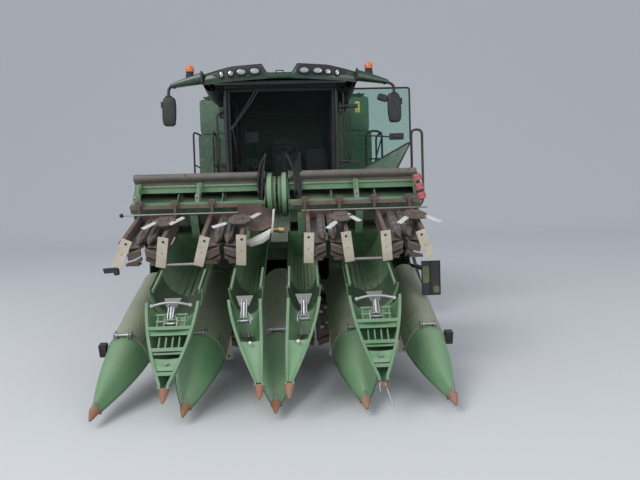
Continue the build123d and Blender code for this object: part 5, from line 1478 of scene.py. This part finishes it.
class COMBINE_OT_cab_inside(bpy.types.Operator):
    """Seats, steering column, console and screen."""

    bl_idname = "combine.cab_inside"
    bl_label = "Cab inside"

    def execute(self, context):
        parts = Shape()
        for low, high, mat in (
                ((-0.16, -0.56, CAB_FLOOR), (0.16, -0.18, 2.39), 0),
                ((-0.12, -1.2, CAB_FLOOR), (0.12, -0.96, CAB_FLOOR + 0.08), 0),
                ((-0.13, -1.02, 2.62), (0.13, -0.93, 2.74), 0),
                ((-0.78, -0.75, CAB_FLOOR), (-0.60, -0.12, 2.62), 0),
                ((-0.50, -0.80, 2.55), (-0.34, -0.22, 2.66), 0),
                ((-0.62, -1.09, 2.93), (-0.40, -1.06, 3.10), 1),
                # A dark wall behind the seats, in the painted-shade green
                ((-0.79, 0.19, 2.15), (0.79, 0.215, 2.84), 2)):
            parts.block(low, high, mat)
        parts.rod((0, -1.08, CAB_FLOOR), (0, -0.97, 2.80), 0.05)
        wheel = parts.at(shift(0, -0.955, 2.835) @ turned(-19, "X"))
        ring = circle(0.185, 32)
        wheel.tube(ring + ring[:1], 0.015, bend=0.001)
        wheel.rod((0, 0, -0.012), (0, 0, 0.014), 0.05)
        for angle in (0.5, 2.64, 4.71):
            spoke = Vector((math.cos(angle), math.sin(angle), 0))
            wheel.rod(0.04 * spoke, 0.18 * spoke, 0.009)
        parts.tube(((-0.42, -0.75, 2.64), (-0.47, -0.98, 2.86), (-0.52, -1.05, 2.98)), 0.014, bend=0.04)
        parts.rod((-0.42, -0.62, 2.64), (-0.42, -0.66, 2.82), 0.022)
        parts.ball((-0.42, -0.67, 2.84), 0.036)
        add_piece("cab_controls", parts, "black_plastic black_paint dark_inner", "machine",
                  bevel=0.008)
        for name, low, high, node in (
                ("seat_cushion", (-0.25, -0.62, 2.40), (0.25, -0.14, 2.54), ("cab_interior",)),
                ("seat_back", (-0.24, -0.19, 2.52), (0.24, -0.07, 3.14), ("cab_interior",)),
                ("second_seat_cushion", (0.36, -0.50, 2.38), (0.76, -0.16, 2.47), ()),
                ("second_seat_back", (0.37, -0.16, 2.45), (0.75, -0.08, 2.95), ())):
            part = cushion(name, low, high, node)
        return {"FINISHED"}


# Wheels

class COMBINE_OT_wheels(bpy.types.Operator):
    """Lugged tyres, and the nuts and hubs of the rims."""

    bl_idname = "combine.wheels"
    bl_label = "Wheels"

    def execute(self, context):
        sizes = context.scene.combine_wheels
        for end, lugs, bead_r, face, nuts in (("front", sizes.front_lugs, 0.4853, -0.062, 12),
                                              ("rear", sizes.rear_lugs, 0.3303, -0.042, 8)):
            for name, side in SIDES:
                low, high = (Vector(v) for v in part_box(f"{end}_tyre_{name}"))
                centre = (low + high) / 2 - SHIFT
                radius, width = (high.z - low.z) / 2, high.x - low.x
                tyre = Shape(Matrix.Translation(centre))
                self.carcass(tyre, radius, width, bead_r, sizes.lug_height)
                for index in range(lugs):
                    for half in (1, -1):
                        turn = Matrix.Rotation(math.tau * (index + 0.25 * half) / lugs, 4, "X")
                        self.lug(tyre.at(turn), half, radius, width, sizes.lug_height)
                add_piece(f"{end}_tyre_tread_{name}", tyre, "tyre_rubber", f"{end}_wheel_{name}",
                          (f"{end}_tyre_{name}",))
                hub = Shape(Matrix.Translation(centre + Vector((side * face, 0, 0))))
                self.hub(hub, side, bead_r, nuts)
                add_piece(f"{end}_hub_{name}", hub, "rim_yellow galvanised rubber", f"{end}_wheel_{name}")
        return {"FINISHED"}

    def hub(self, shape, side, bead_r, nuts):
        """The hub's cap, the ring of nuts, the rim's bead and the valve."""
        spots = [(0, y, z) for y, z, _ in circle(bead_r * 0.42, nuts)]
        shape.bolts(spots, (side, 0, 0), 0.019, 1, 0.03)
        cap = ((0, 0.0), (0, 0.125), (0.012, 0.13), (0.05, 0.12), (0.06, 0.10), (0.09, 0.09), (0.10, 0.075),
               (0.10, 0.0))
        shape.lathe(cap, (0, 0, 0), (side, 0, 0), 0, 36)
        bead = ((0, 0.80), (0.02, 0.80), (0.026, 0.83), (0.02, 0.86), (0, 0.86))
        shape.lathe([(along, bead_r * share) for along, share in bead], (0, 0, 0), (side, 0, 0), 0, 48)
        shape.rod((side * 0.02, 0, bead_r - 0.08), (side * 0.09, 0, bead_r - 0.09), 0.006, 2)

    def carcass(self, shape, radius, width, bead_r, lug_height):
        """The tyre's body with ribs on its sidewalls, spun about its axle."""
        tread = radius - lug_height
        shoulder_r, shoulder = tread - 0.028, width * 0.47
        bead, lip = width * 0.42, bead_r + 0.026
        flank = []
        for k in range(1, 15):
            t = k / 15
            bulge = math.sin(math.pi * min(1, t * 0.96 + 0.02)) ** 0.7
            straight = bead + (shoulder - bead) * t
            rib = 0.004 if k in (2, 3, 11) else 0
            flank.append((straight + (width / 2 - straight) * bulge + rib, lip + (shoulder_r - lip) * t))
        crown = [(shoulder * s, tread - 0.028 * s * s) for s in (1.0, 0.8, 0.5, 0.2)]
        half = [(bead, bead_r), (bead, lip), *flank, *crown]
        shape.lathe(half + [(-x, r) for x, r in reversed(half)] + [half[0]], (0, 0, 0), (1, 0, 0), 0, 72)

    def lug(self, shape, half, radius, width, lug_height):
        """One slanted tread bar that runs from the tyre's middle down over its shoulder."""
        tread, shoulder = radius - lug_height, width * 0.47
        slant = math.tan(math.radians(38)) / radius * 1.15
        rings = []
        for f, top, base in ((-0.06, 0.0, 0.02), (0.3, 0.0, 0.024), (0.65, 0.002, 0.034), (0.93, 0.01, 0.046),
                             (1.03, 0.05, 0.10), (1.045, 0.115, 0.13)):
            ring = []
            for r, spread in ((tread - base, 0.031), (tread - base, -0.031), (radius - top, -0.021),
                              (radius - top, 0.021)):
                a = abs(f) * shoulder * slant + spread / radius
                ring.append(shape.bm.verts.new((half * f * shoulder, r * math.sin(a), r * math.cos(a))))
            rings.append(ring)
        for first, second in zip(rings, rings[1:]):
            for k in range(4):
                shape.bm.faces.new((first[k], first[(k + 1) % 4], second[(k + 1) % 4], second[k]))
        for ring in (rings[0], rings[-1]):
            shape.bm.faces.new(ring)
        shape.stamp([vert for ring in rings for vert in ring], shape.place, 0)


# Door, rails, ladder and tank panels

class COMBINE_OT_door(bpy.types.Operator):
    """The open door: slim frame, tinted pane, kick panel, latch and hinge arms."""

    bl_idname = "combine.door"
    bl_label = "Door"

    def execute(self, context):
        leaf, pane = Shape(shift(0, DOOR_Y)), Shape(shift(0, DOOR_Y))
        glass = ((0.965, 2.285), (0.965, 3.632), (1.968, 3.632), (1.968, 2.845), (1.895, 2.777))
        pane.prism(glass, "Y", -0.003, 0.003)
        add_piece("door_pane", pane, "door_window", "door", ("cab_door_glass",))
        rim = ((0.955, 2.14), (0.955, 3.645), (1.98, 3.645), (1.98, 2.81), (1.62, 2.14), (0.955, 2.14))
        leaf.tube([(x, 0, z) for x, z in rim], 0.014, bend=0.04)
        leaf.tube(((0.955, 0, 2.27), (1.955, 0, 2.80)), 0.016)
        leaf.prism(((0.965, 2.15), (0.965, 2.262), (1.94, 2.78), (1.615, 2.15)), "Y", -0.012, 0.012, 1)
        leaf.prism(((1.05, 2.18), (1.05, 2.27), (1.78, 2.655), (1.58, 2.18)), "Y", -0.018, -0.010, 1)
        leaf.block((1.66, -0.045, 2.855), (1.87, 0.04, 2.945))
        leaf.block((1.70, -0.06, 2.875), (1.85, -0.04, 2.925))
        leaf.tube(((1.15, -0.03, 2.925), (1.45, -0.035, 2.915), (1.67, -0.03, 2.89)), 0.011, smooth=True)
        for z in (3.36, 2.52):
            hinge = ((0.905, 0, z + 0.02), (0.99, -0.03, z + 0.02), (1.14, -0.03, z + 0.005))
            leaf.tube(hinge, 0.022, bend=0.04)
            leaf.block((1.03, -0.055, z - 0.015), (1.17, -0.01, z + 0.04))
            leaf.rod((0.905, 0, z - 0.02), (0.905, 0, z + 0.06), 0.018)
        grab = ((1.02, -0.02, 3.28), (1.045, -0.05, 3.20), (1.045, -0.05, 2.62), (1.02, -0.02, 2.56))
        leaf.tube(grab, 0.014, bend=0.05)
        add_piece("door_leaf", leaf, "black_plastic machine_paint", "door", ("cab_door",),
                  bevel=0.004)
        return {"FINISHED"}


class COMBINE_OT_access(bpy.types.Operator):
    """Platform, railings and both ladders."""

    bl_idname = "combine.access"
    bl_label = "Platform and ladders"

    def execute(self, context):
        self.platform()
        ladders = Shape()
        self.front_ladder(ladders)
        for x in (-1.05, -0.65):
            ladders.rod((x, 6.33, 0.9), (x, 6.33, 2.05), 0.018)
            ladders.slab(x, 0.012, (6.2958, 1.56), (6.33, 1.60))
            ladders.ball((x, 6.33, 2.05), 0.018)
        for z in (0.96, 1.24, 1.52, 1.80):
            ladders.bar(-1.05, -0.65, (6.33, z), 0.014)
        add_piece("ladder_parts", ladders, "black_paint olive_rail", "machine", ("ladder",),
                  bevel=0.001)
        return {"FINISHED"}

    def platform(self):
        """Ribbed decks on both sides of the cab with their railings."""
        deck = Shape()
        for x0, x1, y0, y1 in ((0.8703, 1.75, -1.3, 0.3), (-1.33, -0.8703, -1.1, 0.3)):
            deck.block((x0, y0, 2.075), (x1, y1, 2.104))
            deck.block((x0, y0, 2.03), (x1, y0 + 0.012, 2.104))
            count = int((x1 - x0) / 0.05)
            for index in range(count):
                x = x0 + (index + 0.5) * (x1 - x0) / count
                deck.slab(x, 0.004, (y0 + 0.02, 2.103), (y1 - 0.02, 2.109))
        for radius, bend, route in (
                (0.019, 0.13,
                 ((1.44, -0.42, DECK_Z), (1.44, -0.42, 3.19), (1.72, -0.42, 3.19), (1.72, -0.42, DECK_Z))),
                (0.019, 0.1,
                 ((1.72, -0.42, 3.05), (1.73, -0.30, 3.19), (1.72, 0.26, 3.19), (1.72, 0.26, DECK_Z))),
                (0.019, 0.1,
                 ((-1.3, -0.1, DECK_Z), (-1.3, -0.1, 3.3), (-1.3, 0.25, 3.3), (-1.3, 0.25, DECK_Z))),
                (0.015, 0, ((1.72, -0.42, 2.64), (1.72, 0.26, 2.64))),
                (0.012, 0, ((1.44, -0.42, 2.18), (1.72, -0.42, 3.08))),
                (0.012, 0, ((1.44, -0.42, 2.70), (1.72, -0.42, 2.70))),
                (0.013, 0, ((-1.3, -0.1, 2.7), (-1.3, 0.25, 2.7)))):
            deck.tube(route, radius, bend=bend)
        add_piece("platform_parts", deck, "black_paint", "machine", ("platform",), bevel=0.002)

    def front_ladder(self, ladders):
        """Stringers, hooped rails and studded steps beside the platform."""
        for y in (-1.24, -0.76):
            for depth, half in ((0.052, 0.006), (0.012, 0.022)):
                outline = ((1.764, 2.06), (1.764 + depth, 2.06), (2.154 + depth, 0.48), (2.154, 0.48))
                ladders.prism(outline, "Y", y - half, y + half)
        for y, bend, route in (
                (-1.24, 0.085,
                 ((1.8, DECK_Z), (2.06, 2.42), (2.06, 3.05), (2.235, 3.05), (2.235, 1.9), (1.93, 1.56))),
                (-0.76, 0.08, ((1.8, DECK_Z), (2.04, 2.28), (2.22, 2.28), (2.22, 1.9), (1.93, 1.56)))):
            ladders.tube([(x, y, z) for x, z in route], 0.02, 1, bend=bend)
        for z in (0.5 + index * 0.32 for index in range(5)):
            step = ladders.at(shift(1.79 + (2.06 - z) * 0.39 / 1.58, 0, z))
            for low, high in (((-0.09, 0), (0.09, 0.006)), ((-0.09, 0), (-0.084, 0.032)),
                              ((0.084, 0), (0.09, 0.032))):
                step.block((low[0], -1.235, low[1]), (high[0], -0.765, high[1]))
            for row in range(9):
                for x in (-0.045, 0.0, 0.045):
                    y = -1.19 + row * 0.048
                    step.rod((x, y, 0.004), (x, y, 0.016), 0.011, segments=10)
        ladders.block((1.7503, -1.26, 2.075), (1.80, -0.74, 2.108))


class COMBINE_OT_tank_front(bpy.types.Operator):
    """Stepped front panels beside the cab with their seam, caps, label and rail."""

    bl_idname = "combine.tank_front"
    bl_label = "Tank front"

    def execute(self, context):
        tank = Shape()
        for side in (1, -1):
            for outline, front, rear in (
                    (rounded(0.98, 1.606, 3.345, 3.988, 0.07), 0.335, TANK_Y),
                    (rounded(1.02, 1.57, 3.385, 3.948, 0.05), 0.328, 0.336),
                    (rounded(0.98, 1.645, 2.40, 3.322, 0.05), 0.320, TANK_Y),
                    (rounded(1.05, 1.60, 2.45, 3.275, 0.04), 0.313, 0.321)):
                tank.prism(mirror(outline, side), "Y", front, rear)
            lid = ((1.12, 3.99), (1.50, 3.99), (1.54, 4.035), (1.10, 4.035))
            tank.prism(mirror(lid, side), "Y", 0.32, 0.40, 1)
            tank.block((side * 1.40, 0.325, 3.97), (side * 1.45, 0.40, 4.05), 1)
            for xs, zs, y in (((1.06, 1.53), (3.42, 3.91), 0.328), ((1.09, 1.56), (2.9, 3.23), 0.313)):
                tank.bolts([(side * x, y, z) for x in xs for z in zs], (0, -1, 0), 0.011, 1, 0.006)
            seam = ((1.12, 0.309, 2.5), (1.30, 0.309, 3.18), (1.56, 0.309, 2.5))
            tank.tube(mirror(seam, side), 0.004, bend=0.1)
        tank.prism(rounded(1.345, 1.43, 3.684, 3.886, 0.008), "Y", 0.3235, 0.3285, 2)
        for z in (3.715, 3.755, 3.80, 3.84):
            tank.block((1.362, 0.3225, z), (1.413, 0.3240, z + 0.012), 1)
        tank.tube(((-1.60, 0.33, 3.31), (-1.735, 0.30, 3.385), (-1.735, 0.30, 2.50)), 0.018, 1, bend=0.07)
        tank.tube(((-1.63, 0.33, 2.70), (-1.735, 0.30, 2.76)), 0.014, 1)
        add_piece("tank_front_panels", tank, "machine_paint black_plastic label_yellow", "machine",
                  bevel=0.003)
        return {"FINISHED"}


class COMBINE_OT_end_marks(bpy.types.Operator):
    """The stacked red blocks on the left wing and the board's olive patches."""

    bl_idname = "combine.end_marks"
    bl_label = "End marks"

    def execute(self, context):
        blocks = Shape()
        blocks.block((1.5463, -3.938, 1.90), (1.5623, -3.70, 1.96), 1)
        stack = blocks.at(shift(1.525, -3.94, 1.97) @ turned(-13, "Y"))
        stack.block((-0.022, 0.0, -0.15), (0.022, 0.008, 0.155), 1)
        for z in (-0.1, 0.0, 0.1):
            stack.prism(rounded(-0.042, 0.042, z - 0.036, z + 0.036, 0.012), "Y", -0.026, 0.0)
            for low, high in ((z - 0.024, z - 0.008), (z + 0.008, z + 0.024)):
                stack.prism(rounded(-0.036, 0.036, low, high, 0.005), "Y", -0.032, -0.024)
            stack.bolts(((-0.03, -0.03, z), (0.03, -0.03, z)), (0, -1, 0), 0.006, 1, 0.004)
        add_piece("red_blocks", blocks, "red_lens black_paint", "wing_left", ("wing_panel",),
                  bevel=0.002)
        board = Shape()
        board.prism(rounded(1.482, 1.556, 0.965, 1.135, 0.02), "Y", -4.163, -4.1595)
        board.prism(rounded(1.60, 1.66, 0.86, 0.93, 0.015), "Y", -4.162, -4.1595)
        for x0, x1, z0, z1 in ((1.478, 1.486, 0.835, 1.19), (1.664, 1.672, 0.835, 1.19),
                               (1.486, 1.664, 0.835, 0.843), (1.486, 1.664, 1.182, 1.19),
                               (1.568, 1.576, 0.843, 1.182)):
            board.block((x0, -4.168, z0), (x1, -4.159, z1), 1)
        add_piece("board_marks", board, "olive_patch rubber", "header")
        return {"FINISHED"}


GROUPS = {"combine_paints": CombinePaints, "combine_header": CombineHeader, "combine_wheels": CombineWheels}
STEPS = (
    COMBINE_OT_stage, COMBINE_OT_finish_solids, COMBINE_OT_center_dividers, COMBINE_OT_hanging_points,
    COMBINE_OT_wing_hoods, COMBINE_OT_row_units, COMBINE_OT_wing_frames, COMBINE_OT_augers,
    COMBINE_OT_feeder_parts, COMBINE_OT_cab_roof, COMBINE_OT_mirrors, COMBINE_OT_cab_front,
    COMBINE_OT_cab_inside, COMBINE_OT_wheels, COMBINE_OT_door, COMBINE_OT_access, COMBINE_OT_tank_front,
    COMBINE_OT_end_marks,
)


class COMBINE_PT_panel(bpy.types.Panel):
    """Lists the sizes, the colours and the steps."""

    bl_idname = "COMBINE_PT_panel"
    bl_label = "Combine Harvester"
    bl_space_type = "VIEW_3D"
    bl_region_type = "UI"
    bl_category = "Combine"

    def draw(self, context):
        for name in GROUPS:
            group = getattr(context.scene, name)
            box = self.layout.box()
            for key in group.bl_rna.properties.keys():
                if key not in ("rna_type", "name"):
                    box.prop(group, key)
        for step in STEPS:
            self.layout.operator(step.bl_idname)


def register():
    for cls in (*GROUPS.values(), *STEPS, COMBINE_PT_panel):
        bpy.utils.register_class(cls)
    for name, group in GROUPS.items():
        setattr(bpy.types.Scene, name, PointerProperty(type=group))


def unregister():
    for name in GROUPS:
        delattr(bpy.types.Scene, name)
    for cls in reversed((*GROUPS.values(), *STEPS, COMBINE_PT_panel)):
        bpy.utils.unregister_class(cls)


def main():
    register()
    for step in STEPS:
        getattr(bpy.ops.combine, step.bl_idname.split(".")[1])()


if __name__ == "__main__":
    main()
